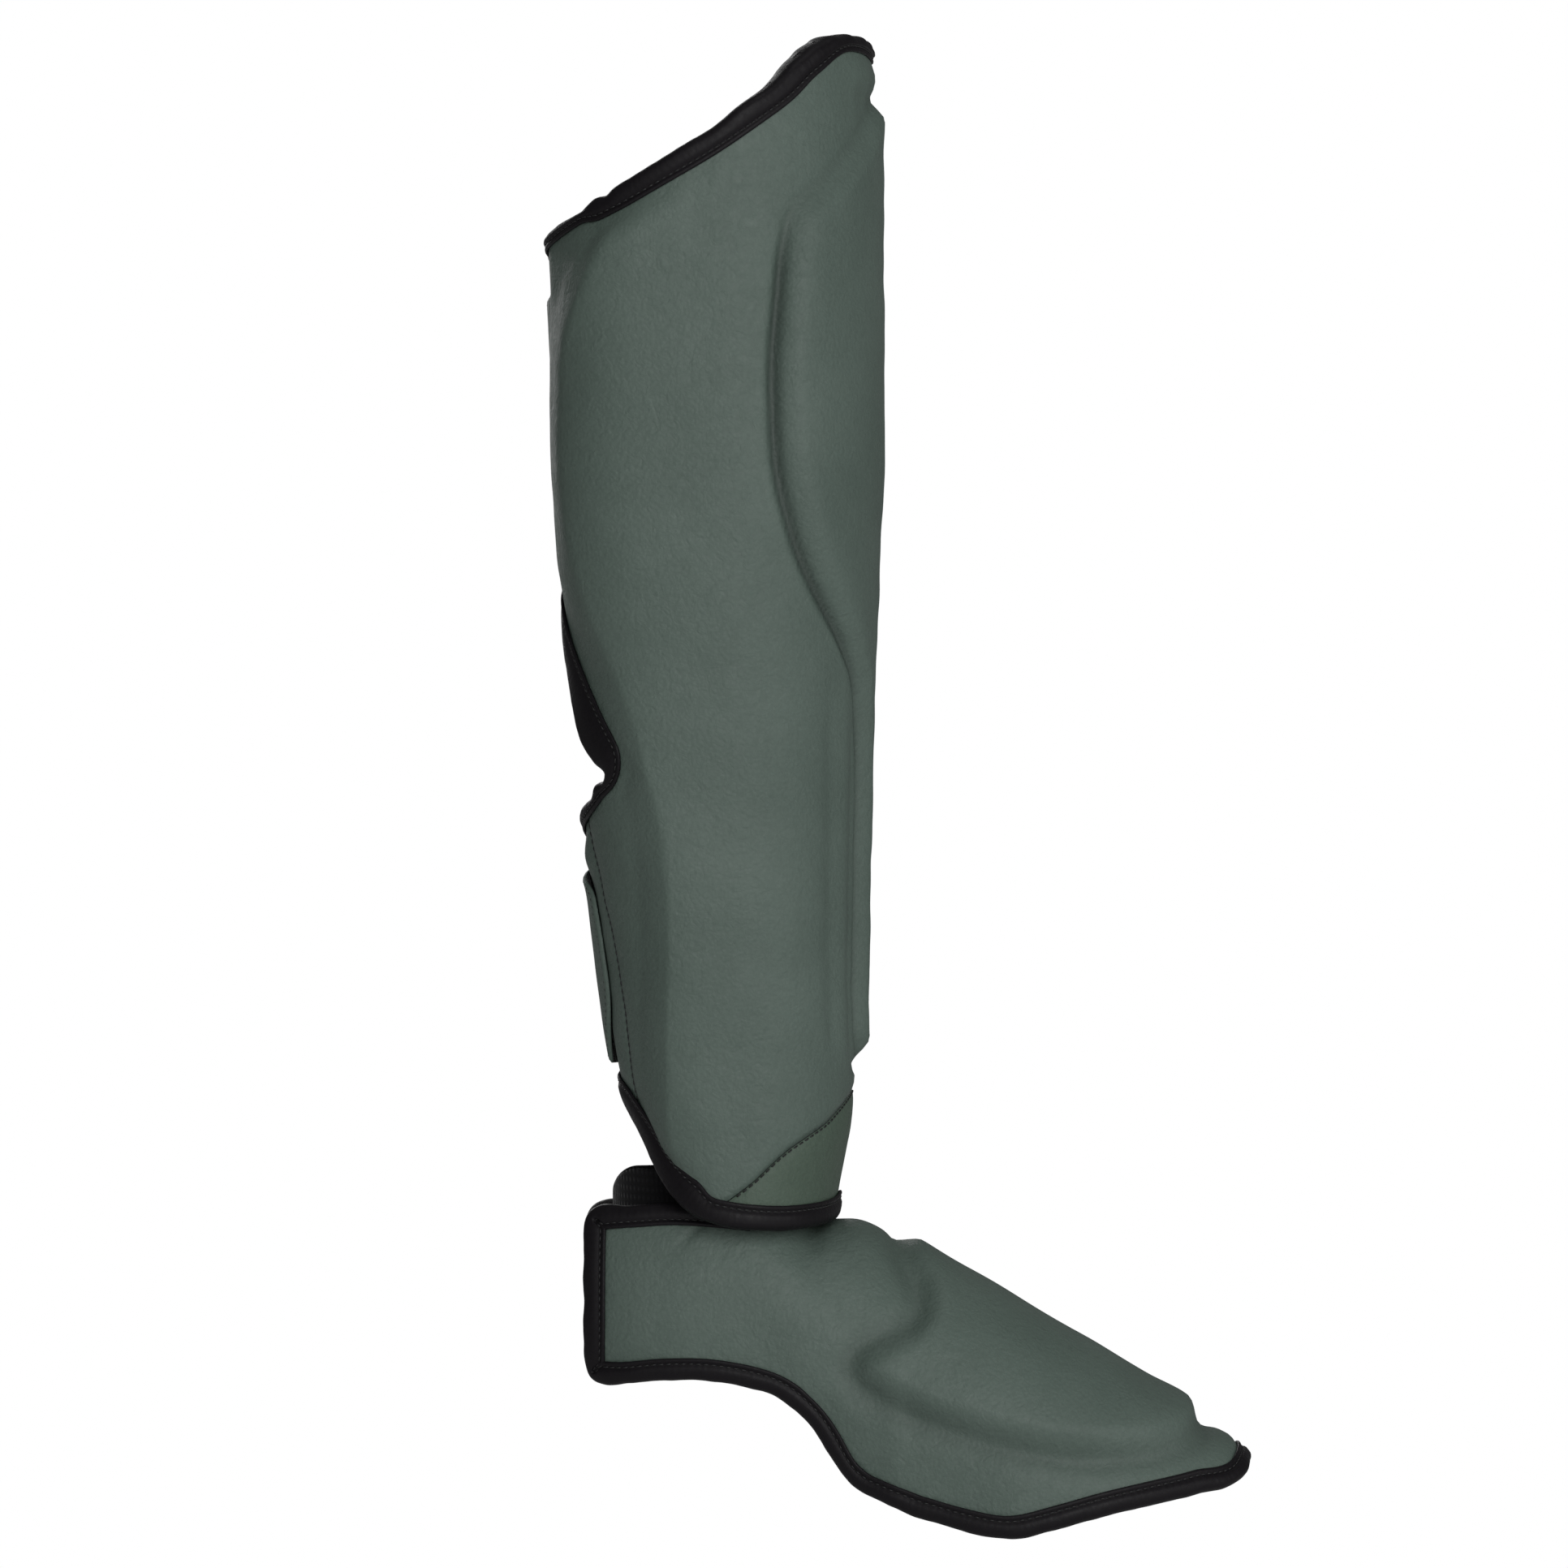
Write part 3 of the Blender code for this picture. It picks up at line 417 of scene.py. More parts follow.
def ramp(at, start, reach):
    """An eased climb from 0 at start to 1 at start + reach, which may lie below it."""
    return ease((at - start) / reach)


def bump(distance, width):
    """A bell of height 1 at distance 0, that has all but gone at twice the width."""
    return np.exp(-((distance / width) ** 2))


def bumps(table, at):
    return sum(height * bump(at - place, width) for height, place, width in table)


def unit(vectors):
    return vectors / np.linalg.norm(vectors, axis=-1, keepdims=True)


def run_along(points, axis=0):
    """Distance along a line of points, or along each line of a grid, from its start."""
    steps = np.diff(points, axis=axis, prepend=np.take(points, [0], axis=axis))
    return np.cumsum(np.linalg.norm(steps, axis=-1), axis=axis)


def read_along(at, run, rows):
    """Rows of numbers given at the distances run, read at other distances."""
    return np.stack([np.interp(at, run, column) for column in rows.T], axis=-1)


def waves(a, b, length, seed):
    """Soft unevenness from -1 to 1: the mean of five sine waves over the plane (a, b), whose directions,
    lengths near the given one, and phases come from a seeded draw."""
    draw = np.random.default_rng(seed)
    total = 0
    for turn, stretch, phase in draw.uniform((0, 0.7, 0), (math.pi, 1.5, 2 * math.pi), (5, 3)):
        run = (a * math.cos(turn) + b * math.sin(turn)) / (length * stretch)
        total = total + np.sin(2 * math.pi * run + phase)
    return total / 3.2


# Surfaces, each given by a function of two coordinates


def normal_at(point, a, b):
    """Outward direction of a surface at its coordinates a and b."""
    step = 1e-4
    by_a = point(a + step, b) - point(a - step, b)
    by_b = point(a, b + step) - point(a, b - step)
    return unit(np.cross(by_a, by_b))


def skin_at(point, a, b, rise):
    """A surface moved out along its normal by rise, which may differ from point to point."""
    a, b = np.broadcast_arrays(np.asarray(a, float), np.asarray(b, float))
    rise = np.broadcast_to(rise, a.shape)
    return point(a, b) + normal_at(point, a, b) * rise[..., None]


def squared_radius(deep, wide, power):
    """Radius of a squared ellipse, whose two terms are given before they are raised to its power."""
    return (deep**power + wide**power) ** (-1 / power)


# Form of the shin shell


def shin_point(angle, height):
    """Outside of the bare shell: at each height a squared ellipse, |x/a|^n + |y/b|^n = 1, round the leg.
    The upper calf is squarer behind. Near the free back edges the radius falls by TUCK times the square
    of the share of the way to them. Before them BACK_FULLNESS and WING_FULLNESS fill out the upper calf
    and the top of each lower wing."""
    share = height / SHIN_LENGTH
    front = read(SHIN_SECTIONS, share, 1) * CALF_DEPTH
    back = read(SHIN_SECTIONS, share, 2) * CALF_DEPTH
    half = read(SHIN_SECTIONS, share, 3) * CALF_WIDTH
    upper = UPPER_SQUARENESS * ramp(share, *SQUARE_FROM) * ramp(share, *SQUARE_TO)
    power = np.where(np.cos(angle) >= 0, FRONT_SQUARENESS, BACK_SQUARENESS + upper)
    deep = np.abs(np.cos(angle)) / ((front - back) / 2)
    wide = np.abs(np.sin(angle)) / half
    start = math.radians(TUCK_START)
    around = math.pi - np.abs(math.pi - np.abs(angle))
    turned = np.clip((around - start) / (wing_angle() - start), 0, TUCK_PAST)
    full = bumps(BACK_FULLNESS, around) * ramp(share, *FULL_FROM)
    full += bumps(WING_FULLNESS, around) * bumps(WING_FULL_AT, share)
    radius = squared_radius(deep, wide, power) - TUCK * turned**2 + full
    x = (front + back) / 2 + radius * np.cos(angle)
    return np.stack([x, radius * np.sin(angle), height + 0 * x], axis=-1)


def shin_normal(angle, height):
    return normal_at(shin_point, angle, height)


def shin_skin(angle, height, rise):
    return skin_at(shin_point, angle, height, rise)


def wing_angle():
    return math.pi - math.atan(BACK_GAP / 2 / (CALF_DEPTH / 2))


def rim_height(table, angle):
    return read(table, np.degrees(np.abs(angle))) * SHIN_LENGTH


def shell_low(angle):
    return np.maximum(rim_height(BOTTOM_RIM, angle), rim_height(CHEVRON, angle) + FIT / 2)


def edge_angle(table, height):
    return read(table, height / SHIN_LENGTH) * wing_angle()


def crease_distance(angle, height):
    """How far inside the shin pad's crease a point lies, with the surface laid flat. The crease is
    mirrored over the front."""
    right = [(math.radians(turn) * SHIN_RADIUS, share * SHIN_LENGTH) for share, turn in SHIN_PAD]
    left = [(-across, up) for across, up in right[-2:0:-1]]
    return outline_depth(angle * SHIN_RADIUS, height, round_outline(right + left, 2))


def pad_profile(inside, rise, groove, outer, inner, lead):
    """Height of a pressed pad across its crease: a groove of the given depth, whose sides die out over
    outer and inner, then an eased step over lead, and past it a low swell that sinks to the pad."""
    step = ease(inside / lead)
    valley = np.where(inside < 0, bump(inside, outer), bump(inside, inner))
    swell = 0.14 * rise * bump(inside - lead, lead)
    return rise * step - groove * valley + swell


def fold_rise(angle, height):
    """Ridge along the side fold, FOLD_HEIGHT high: from the front it swells up to its crest over
    FOLD_FRONT by the square of the way, and behind it falls straight over FOLD_BACK. The lower of the
    two holds, and the crest and the foot are rounded off."""
    share = height / SHIN_LENGTH
    away = shin_point(angle, height)[..., 0] + read(SIDE_FOLD, share, 1) * CALF_DEPTH
    before = np.clip(1 - away / FOLD_FRONT, 0, 1) ** 2
    behind = 1 + away / FOLD_BACK
    roof = (before + behind - np.sqrt((before - behind) ** 2 + FOLD_CREST**2)) / 2
    roof = (roof + np.sqrt(roof**2 + FOLD_FOOT**2)) / 2 - FOLD_SINK
    return FOLD_HEIGHT * roof * read(SIDE_FOLD, share, 2) * ramp(np.abs(np.sin(angle)), 0.15, 0.3)


def crease_depth_and_shade(share):
    """How hard the shin pad's crease is pushed in, which sets its groove's depth and how dark the painted
    shade in its colour is: most along its sides, less beside the narrow lower pad and towards its top."""
    return (0.45 + 0.55 * ramp(share, *FIRM_FROM)) * (1 - 0.8 * ramp(share, *SOFT_FROM))


def edge_dip(distance, depth=0.0009, width=0.0022):
    """Leather drawn down to a seam, deepest at distance 0 from it."""
    return -depth * np.exp(-np.maximum(distance, 0) / width)


def edge_distance(angle, height):
    """How far a point of the shell lies from the nearest of its outer edges."""
    back = (edge_angle(BACK_EDGE, height) - np.abs(angle)) * CALF_RADIUS
    up = rim_height(TOP_RIM, angle) - height
    return np.minimum(np.minimum(up, height - rim_height(BOTTOM_RIM, angle)), back)


def shell_rise(angle, height):
    """Outside form of the shell's leather over its bare section: the pad and its crease, the side fold,
    the soft band beside the lower pad, gathers and one slanting pleat that fade away from the knee rim,
    a crown under that rim at the front, the pinch under the pad, and soft unevenness. The fold, the band,
    the gathers and the unevenness die out towards the bindings."""
    across = angle * CALF_RADIUS
    share = height / SHIN_LENGTH
    groove = SHIN_GROOVE * crease_depth_and_shade(share)
    pad = pad_profile(crease_distance(angle, height), SHIN_PAD_RISE, groove, 0.0013, 0.0020, SHIN_PAD_STEP)
    band = ramp(share, *BAND_TO) * ramp(share, *BAND_FROM) * bumps(SIDE_BAND, np.abs(across))
    crown = bumps(KNEE_CROWN, height) * ramp(np.abs(angle), *CROWN_TO)
    pinch = bumps(PAD_PINCH, height) * ramp(np.abs(angle), *PINCH_TO)
    below_rim = rim_height(TOP_RIM, angle) - height
    gathers = GATHER_HEIGHT * waves(across, below_rim * 0.2, 0.012, 3)
    behind = -shin_point(angle, height)[..., 0]
    pleat = PLEAT_DEPTH * bump(behind - PLEAT_PLACE - PLEAT_SLANT * below_rim, 0.0032)
    near_rim = np.exp(-below_rim / GATHER_REACH) * (gathers - pleat)
    uneven = 0.00032 * waves(across, height, 0.055, 5) + 0.00012 * waves(across, height, 0.016, 8)
    free = ramp(edge_distance(angle, height), 0.005, 0.012)
    return pad - pinch + crown + free * (band + fold_rise(angle, height) + near_rim + uneven)


def shell_wall(angle, height, dip):
    """Outside and inside of the padded wall. dip lowers the outside along its seams."""
    outside = shin_skin(angle, height, shell_rise(angle, height) + dip)
    step = ease(crease_distance(angle, height) / SHIN_CORE_STEP)
    quilted = 0.0004 * waves(angle * SHIN_RADIUS, height, 0.030, 21)
    inside = shin_skin(angle, height, -SHIN_WALL - step * SHIN_PAD_CORE * 0.9 + quilted)
    return outside, inside


# Form of the foot cover


def binding_clearance():
    return FOLD_FIT + BINDING + BINDING_PUFF + FIT


def ankle_room():
    return read(SHIN_SECTIONS, 0.0, 3) * CALF_WIDTH - SHIN_WALL


def collar_reach():
    front = read(SHIN_SECTIONS, BOTTOM_RIM[1][1], 1) * CALF_DEPTH
    return front - SHIN_WALL - binding_clearance()


def station_x(station):
    return np.interp(station, (-1, 0, 1, 2), (-HEEL_REACH, 0, collar_reach(), TOE_REACH))


def read_foot(table, x, column=1):
    return smooth(x, station_x([row[0] for row in table]), [row[column] for row in table])


def foot_section(x):
    ridge = read_foot(FOOT_SECTIONS, x, 1) * FOOT_DROP
    centre = read_foot(FOOT_SECTIONS, x, 2) * FOOT_DROP
    half = read_foot(FOOT_SECTIONS, x, 3) * ankle_room() + read_foot(FOOT_SECTIONS, x, 4) * FOOT_WIDTH / 2
    return ridge, centre, half


def foot_point(x, turn):
    """Outside of the bare cover: at each x a squared arch, |y/w|^n + |z/h|^n = 1, read by the turn down
    from its ridge."""
    ridge, centre, half = foot_section(x)
    tall = np.where(np.cos(turn) >= 0, ridge - centre, half * FOOT_UNDERCUT)
    radius = squared_radius(np.abs(np.cos(turn)) / tall, np.abs(np.sin(turn)) / half, FOOT_SQUARENESS)
    return np.stack([x + 0 * radius, radius * np.sin(turn), centre + radius * np.cos(turn)], axis=-1)


def foot_turn(x, height):
    ridge, centre, half = foot_section(x)
    up = np.minimum(height, ridge) - centre
    tall = np.where(up >= 0, ridge - centre, half * FOOT_UNDERCUT)
    share = np.clip(np.abs(up) / tall, 0, 1)
    across = half * (1 - share**FOOT_SQUARENESS) ** (1 / FOOT_SQUARENESS)
    return np.arctan2(across, up)


def foot_skin(x, turn, rise):
    return skin_at(foot_point, x, turn, rise)


def foot_place(way, down):
    """Distance forward and turn of a point of the cover: way round from -1 to 1, down its ray from 0
    to 1. On the front centre line the turn is 0."""
    size = np.abs(way)
    knots = [row[0] ** 2 for row in RAYS]
    ends = []
    for column, edge in ((1, COLLAR_EDGE), (2, FOOT_EDGE)):
        x = smooth(size**2, knots, station_x([row[column] for row in RAYS]))
        ends.append((x, np.where(size < 1e-9, 0, foot_turn(x, read_foot(edge, x) * FOOT_DROP))))
    (start, start_turn), (end, end_turn) = ends
    return start + (end - start) * down, (start_turn + (end_turn - start_turn) * down) * np.sign(way)


def outline_depth(across, up, outline):
    """How far inside a closed outline each point lies, and less than 0 outside: the least distance to its
    runs, with the sign from counting crossings."""
    point = np.stack([across, up], axis=-1)
    nearest = np.full(across.shape, np.inf)
    inside = np.zeros(across.shape, bool)
    for start, end in zip(outline, np.roll(outline, -1, axis=0)):
        run = end - start
        share = np.clip(((point - start) @ run) / (run @ run), 0, 1)
        nearest = np.minimum(nearest, np.linalg.norm(point - start - share[..., None] * run, axis=-1))
        spans = (start[1] > up) != (end[1] > up)
        rise = np.where(run[1] == 0, 1, run[1])
        inside ^= spans & (across < start[0] + (up - start[1]) / rise * run[0])
    return np.where(inside, nearest, -nearest)


def round_outline(outline, rounds=3):
    """An outline with its corners cut off again and again, which tends to a smooth curve."""
    points = np.array(outline)
    for _ in range(rounds):
        ahead = np.roll(points, -1, axis=0)
        cuts = [0.75 * points + 0.25 * ahead, 0.25 * points + 0.75 * ahead]
        points = np.stack(cuts, axis=1).reshape(-1, 2)
    return points


def foot_crease(x, turn):
    """How far inside the foot pad's crease a point of the bare cover lies, seen from the side."""
    point = foot_point(x, turn)
    corners = [(station_x(station), share * FOOT_DROP) for station, share in FOOT_PAD]
    return outline_depth(point[..., 0], point[..., 2], round_outline(corners))


def cover_rise(x, turn):
    """Outside form of the cover's leather over its bare section: the pad and its crease, a pleat under
    the collar, and soft unevenness."""
    point = foot_point(x, turn)
    inside = foot_crease(x, turn)
    beside = np.maximum(ease(np.abs(turn) / 0.9), 0.7 * ramp(point[..., 0], 0.10, 0.03))
    soft = 0.0020 + 0.0026 * beside
    pad = pad_profile(inside, FOOT_PAD_RISE, 0.0009 + 0.0003 * beside, soft, soft, 0.0055 + 0.0050 * beside)
    arc = turn * FOOT_RADIUS
    uneven = 0.00030 * waves(x, arc, 0.045, 31) + 0.00010 * waves(x, arc, 0.015, 32)
    under_collar = -point[..., 2] - 0.002
    slant = point[..., 0] - COLLAR_PLEAT_PLACE + 1.1 * under_collar
    pleat = bump(slant, 0.0018) * bump(under_collar, 0.006)
    return pad + uneven - COLLAR_PLEAT_DEPTH * pleat


# Meshes


def add_object(name, data):
    made = bpy.data.objects.new(name, data)
    bpy.context.scene.collection.objects.link(made)
    return made


def add_piece(name, points, faces, finish, uv=None):
    """A mesh whose faces point outwards, in the scene. uv gives each point its place on the surface."""
    mesh = bpy.data.meshes.new(name)
    mesh.from_pydata(points.reshape(-1, 3).tolist(), [], faces)
    mesh.shade_smooth()
    for made in finish:
        mesh.materials.append(made)
    if uv is not None:
        corners = np.zeros(len(mesh.loops), np.int32)
        mesh.loops.foreach_get("vertex_index", corners)
        layer = mesh.uv_layers.new(name="along")
        layer.data.foreach_set("uv", uv.reshape(-1, 2)[corners].astype(np.float32).ravel())
    face_out(mesh)
    return add_object(name, mesh)


def grid_faces(rows, columns, closed=False):
    """Faces of a grid, as corner numbers. A closed grid's last column joins its first."""
    r, c = np.meshgrid(np.arange(rows - 1), np.arange(columns - (0 if closed else 1)), indexing="ij")
    a = (r * columns + c).ravel()
    b = (r * columns + (c + 1) % columns).ravel()
    return np.stack([a, b, b + columns, a + columns], axis=1)


def face_out(mesh):
    """Turns the faces of a closed mesh outwards, by the sign of its volume."""
    mesh.calc_loop_triangles()
    corners = np.zeros(len(mesh.loop_triangles) * 3, np.int32)
    mesh.loop_triangles.foreach_get("vertices", corners)
    points = np.zeros(len(mesh.vertices) * 3)
    mesh.vertices.foreach_get("co", points)
    a, b, c = points.reshape(-1, 3)[corners.reshape(-1, 3)].transpose(1, 0, 2)
    if (np.cross(a, b) * c).sum() < 0:
        mesh.flip_normals()


def arc_lengths(points):
    """Distance along the rows and down the columns of a grid of points, for the piece's UV map."""
    across = run_along(points, 1)
    across = across - across[:, across.shape[1] // 2, None]
    return np.stack([across, run_along(points)], axis=-1)


def add_wall(name, outside, inside, outer_finish, inner_finish, crease=None, raw_edge=True):
    """A closed wall between two grids: the outer grid, the inner one turned over, and a band round the
    edge between them, which shows the inner finish where the edge is raw. crease gives each point of
    the outer grid its distance from the crease line, in widths of that line, and the line's strength;
    the line dents the leather and darkens its colour as painted shade."""
    rows, columns = outside.shape[:2]
    under = rows * columns
    top = grid_faces(rows, columns)
    ring = np.concatenate([
        np.arange(columns), np.arange(1, rows) * columns + columns - 1,
        (rows - 1) * columns + np.arange(columns - 2, -1, -1), np.arange(rows - 2, 0, -1) * columns])
    ahead = np.roll(ring, -1)
    band = np.stack([ahead, ring, under + ring, under + ahead], axis=1)
    faces = np.concatenate([top, band, under + top[:, ::-1]])
    uv = np.stack([arc_lengths(outside), arc_lengths(inside)])
    piece = add_piece(name, np.stack([outside, inside]), faces.tolist(), (outer_finish, inner_finish), uv)
    inner = np.zeros(len(faces), np.int32)
    inner[len(top) + (0 if raw_edge else len(band)):] = 1
    piece.data.polygons.foreach_set("material_index", inner)
    if crease is not None:
        dent_and_shade = np.zeros((2 * under, 3))
        dent_and_shade[:under, :2] = np.stack(crease, axis=-1).reshape(-1, 2)
        layer = piece.data.attributes.new("crease", "FLOAT_VECTOR", "POINT")
        layer.data.foreach_set("vector", dent_and_shade.ravel())
    return piece


def add_tube(name, rings, finish, uv, closed):
    """A closed profile carried along a path. A path that isn't closed gets a centre point at each end."""
    count, sides = rings.shape[:2]
    points, uv = rings.reshape(-1, 3), uv.reshape(-1, 2)
    faces = grid_faces(count, sides, closed=True)
    side = np.arange(sides)
    ahead = (side + 1) % sides
    last = (count - 1) * sides
    if closed:
        seam = np.stack([last + side, last + ahead, ahead, side], axis=1)
        return add_piece(name, points, np.concatenate([faces, seam]).tolist(), (finish,), uv)
    ends = np.stack([rings[0].mean(0), rings[-1].mean(0)])
    middle = count * sides + 0 * side
    start = np.stack([ahead, side, middle], axis=1)
    end = np.stack([last + side, last + ahead, middle + 1], axis=1)
    faces = faces.tolist() + start.tolist() + end.tolist()
    uv = np.concatenate([uv, uv[:1], uv[-1:]])
    return add_piece(name, np.concatenate([points, ends]), faces, (finish,), uv)


def path_frame(edge, normals, closed):
    """Directions along an edge, out of the panel, and off its face, at each point of the edge. The path
    runs so that the panel lies on its right, seen from outside."""
    if closed:
        along = unit(np.roll(edge, -1, axis=0) - np.roll(edge, 1, axis=0))
    else:
        along = unit(np.gradient(edge, axis=0))
    out = unit(soften(np.cross(normals, along), 2, closed))
    return along, out


def soften(values, rounds, closed=False):
    """Runs a mean over each value and its neighbours along the first axis, again and again."""
    for _ in range(rounds):
        mean = (np.roll(values, 1, axis=0) + 2 * values + np.roll(values, -1, axis=0)) / 4
        values = mean if closed else np.concatenate([values[:1], mean[1:-1], values[-1:]])
    return values


def binding_profile(wall):
    """Half of the fold's section, from the lip on the face to the tip of the roll, as (off the middle of
    the wall, beyond its edge). A groove holds the stitches; past it the leather swells and turns round."""
    slot = wall / 2 + SLOT
    leg, puff, groove = BINDING, BINDING + BINDING_PUFF, BINDING_LEG - STITCH_LINE
    face = [
        (slot, -BINDING_LEG),
        (slot + 0.55 * leg, -BINDING_LEG - 0.00015),
        (slot + 0.95 * leg, -BINDING_LEG + 0.0002),
        (slot + 1.05 * leg, -BINDING_LEG + 0.0007),
        (slot + 0.90 * leg, -groove - 0.0006),
        (slot + 0.45 * leg, -groove),
        (slot + 0.95 * leg, -groove + 0.0006),
        (slot + 0.9 * puff, -groove + 0.0013),
        (slot + 1.05 * puff, -groove * 0.55),
        (slot + 1.12 * puff, -groove * 0.25),
    ]
    turn = np.linspace(0, math.pi / 2, 9)
    half = slot + 1.1 * puff
    roll = np.stack([half * np.cos(turn) ** 0.66, BINDING_ROLL * np.sin(turn) ** 0.95], axis=-1)
    return np.concatenate([np.array(face), roll])


def leg_lengths(along, out, run, wanted, closed):
    """How long the fold's leg may be at each point. Where the edge turns round its panel, a leg would
    run past the centre of the turn, so it ends there: each turn's radius limits the legs near it, and
    the limit grows by the distance along the edge, which makes a mitre at a corner."""
    turn = np.roll(along, -1, axis=0) - np.roll(along, 1, axis=0)
    step = np.gradient(run)
    bend = -(turn * out).sum(-1) / (2 * step)
    if not closed:
        bend[[0, -1]] = 0
    radius = 1 / np.maximum(soften(bend, 2, closed), 1e-3)
    apart = np.abs(run[:, None] - run[None, :])
    if closed:
        apart = np.minimum(apart, run[-1] + step[-1] - apart)
    limit = (0.9 * radius[None, :] + apart).min(1)
    return np.maximum(np.minimum(wanted, limit), 1.2 * STITCH_LINE)


def add_binding(name, skin, place, wall, seed, closed, wanted, swell):
    """Leather folded over a wall's edge: the half section and its mirror image, carried along the edge
    and laid on the wall's own surface. place holds the edge's two coordinates on it, and skin gives the
    point at two such coordinates and a height over them. The legs are as long as wanted where they can
    be. Ripples roughen the leather, and swell lifts the roll. Keeps the line of its outer stitches."""
    p, q = place.T
    edge = skin(p, q, 0)
    by_p = (skin(p + 1e-4, q, 0) - skin(p - 1e-4, q, 0)) / 2e-4
    by_q = (skin(p, q + 1e-4, 0) - skin(p, q - 1e-4, 0)) / 2e-4
    along, out = path_frame(edge, unit(np.cross(by_p, by_q)), closed)
    pp, pq, qq = (by_p * by_p).sum(-1), (by_p * by_q).sum(-1), (by_q * by_q).sum(-1)
    out_p, out_q = (out * by_p).sum(-1), (out * by_q).sum(-1)
    span = pp * qq - pq**2
    step_p, step_q = (out_p * qq - out_q * pq) / span, (out_q * pp - out_p * pq) / span
    run = run_along(edge)
    legs = leg_lengths(along, out, run, wanted, closed)
    half = np.concatenate([np.array([(wall / 2 + SLOT, 0.0008)]), binding_profile(wall)])
    profile = np.concatenate([half, (half * (-1, 1))[::-1]])
    groove = BINDING_LEG - STITCH_LINE
    beyond = ease((profile[:, 1] + groove) / BINDING_LEG)
    ripple = 0.00005 * waves(run[:, None], profile[None, :, 1] * 0.6, 0.0046, seed) * beyond
    lumps = ripple + (0.00018 * waves(run, 0 * run, 0.015, seed + 2) + swell)[:, None] * beyond
    a = profile[:, 0] + np.sign(profile[:, 0]) * lumps * 0.6
    b = profile[:, 1] + 0 * a
    inner = b * (legs[:, None] - STITCH_LINE) / groove
    b = np.where(b >= 0, b + lumps, np.where(b > -groove, inner, b + BINDING_LEG - legs[:, None]))
    rings = skin(p[:, None] + step_p[:, None] * b, q[:, None] + step_q[:, None] * b, a - wall / 2)
    uv = np.stack(np.broadcast_arrays(run[:, None], run_along(profile)), axis=-1)
    inset = legs - STITCH_LINE
    line, under = (skin(p - step_p * inset, q - step_q * inset, up) for up in (SLOT + BINDING * 0.7, -wall))
    binding_lines.append((line, unit(line - under)))
    return add_tube(name, rings, binding_leather(), uv, closed)


def stitch_shape():
    """One stitch lying along x: a thread whose ends dip into the leather. Its section is an octagon."""
    along = np.array([-0.5, -0.36, 0, 0.36, 0.5])[:, None]
    thick = np.array([0.35, 0.9, 1.0, 0.9, 0.35])[:, None]
    lift = np.array([-0.9, 0.05, 0.35, 0.05, -0.9])[:, None]
    turn = np.arange(8) * math.pi / 4
    points = np.stack([along * STITCH_LENGTH + 0 * turn, np.cos(turn) * thick * THREAD,
                       (np.sin(turn) * thick + lift) * THREAD], axis=-1)
    ends = np.array([[-0.53 * STITCH_LENGTH, 0, -THREAD], [0.53 * STITCH_LENGTH, 0, -THREAD]])
    faces = [tuple(face) for face in grid_faces(5, 8, closed=True)]
    faces += [((i + 1) % 8, i, 40) for i in range(8)] + [(32 + i, 32 + (i + 1) % 8, 41) for i in range(8)]
    return np.concatenate([points.reshape(-1, 3), ends]), faces


def add_stitches(name, lines):
    """Stitches at an even pitch along each line, which is given as points and the face's normals."""
    shape, shape_faces = stitch_shape()
    points, faces = [], []
    for line, normals in lines:
        run = run_along(line)
        count = max(int(run[-1] / STITCH_PITCH), 1)
        at = (np.arange(count) + 0.5) * run[-1] / count
        centre = read_along(at, run, line)
        normal = unit(read_along(at, run, normals))
        along = read_along(at, run, np.gradient(line, axis=0))
        along = unit(along - (along * normal).sum(-1, keepdims=True) * normal)
        axes = np.stack([along, np.cross(normal, along), normal], axis=1)
        for middle, turned in zip(centre, axes):
            first = len(points) * len(shape)
            points.append(middle + shape @ turned)
            faces += [tuple(first + i for i in face) for face in shape_faces]
    declare(add_piece(name, np.concatenate(points), faces, (thread(),)), "black_binding")


def declare(piece, slot, *nodes):
    """Every piece rides the guard's one body. The slot argument is not used. It stands for the named
    solids.
    """
    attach(piece, "root")
    if nodes:
        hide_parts(*nodes)


# Materials


def colour(code):
    """An sRGB hex colour as linear light, with alpha 1."""
    parts = [int(code[i:i + 2], 16) / 255 for i in (0, 2, 4)]
    return (*[c / 12.92 if c <= 0.04045 else ((c + 0.055) / 1.055) ** 2.4 for c in parts], 1)


def add_node(tree, kind, links=None, **settings):
    """Adds a node. settings are its own properties; links are its inputs, each a value or a socket."""
    made = tree.nodes.new(kind)
    for name, value in settings.items():
        setattr(made, name, value)
    for name, value in (links or {}).items():
        if isinstance(value, bpy.types.NodeSocket):
            tree.links.new(value, made.inputs[name])
        else:
            made.inputs[name].default_value = value
    return made


def calculate(tree, operation, *values):
    return add_node(tree, "ShaderNodeMath", dict(enumerate(values)), operation=operation).outputs["Value"]


def blend(tree, factor, a, b, blend_type="MIX"):
    made = add_node(tree, "ShaderNodeMix", {"Factor": factor, "A": a, "B": b},
                    data_type="RGBA", blend_type=blend_type)
    return made.outputs["Result"]


def spread(tree, value, span, onto):
    """A value carried from the range span onto another, and held at its ends."""
    made = add_node(tree, "ShaderNodeMapRange", {
        "Value": value, "From Min": span[0], "From Max": span[1], "To Min": onto[0], "To Max": onto[1]})
    return made.outputs["Result"]


def noise(tree, place, cell, detail, roughness=0.5, distortion=0.0):
    """Cloudy noise whose largest spots are about cell metres wide."""
    made = add_node(tree, "ShaderNodeTexNoise", {
        "Vector": place, "Scale": 1 / cell, "Detail": detail, "Roughness": roughness,
        "Distortion": distortion})
    return made.outputs["Fac"]


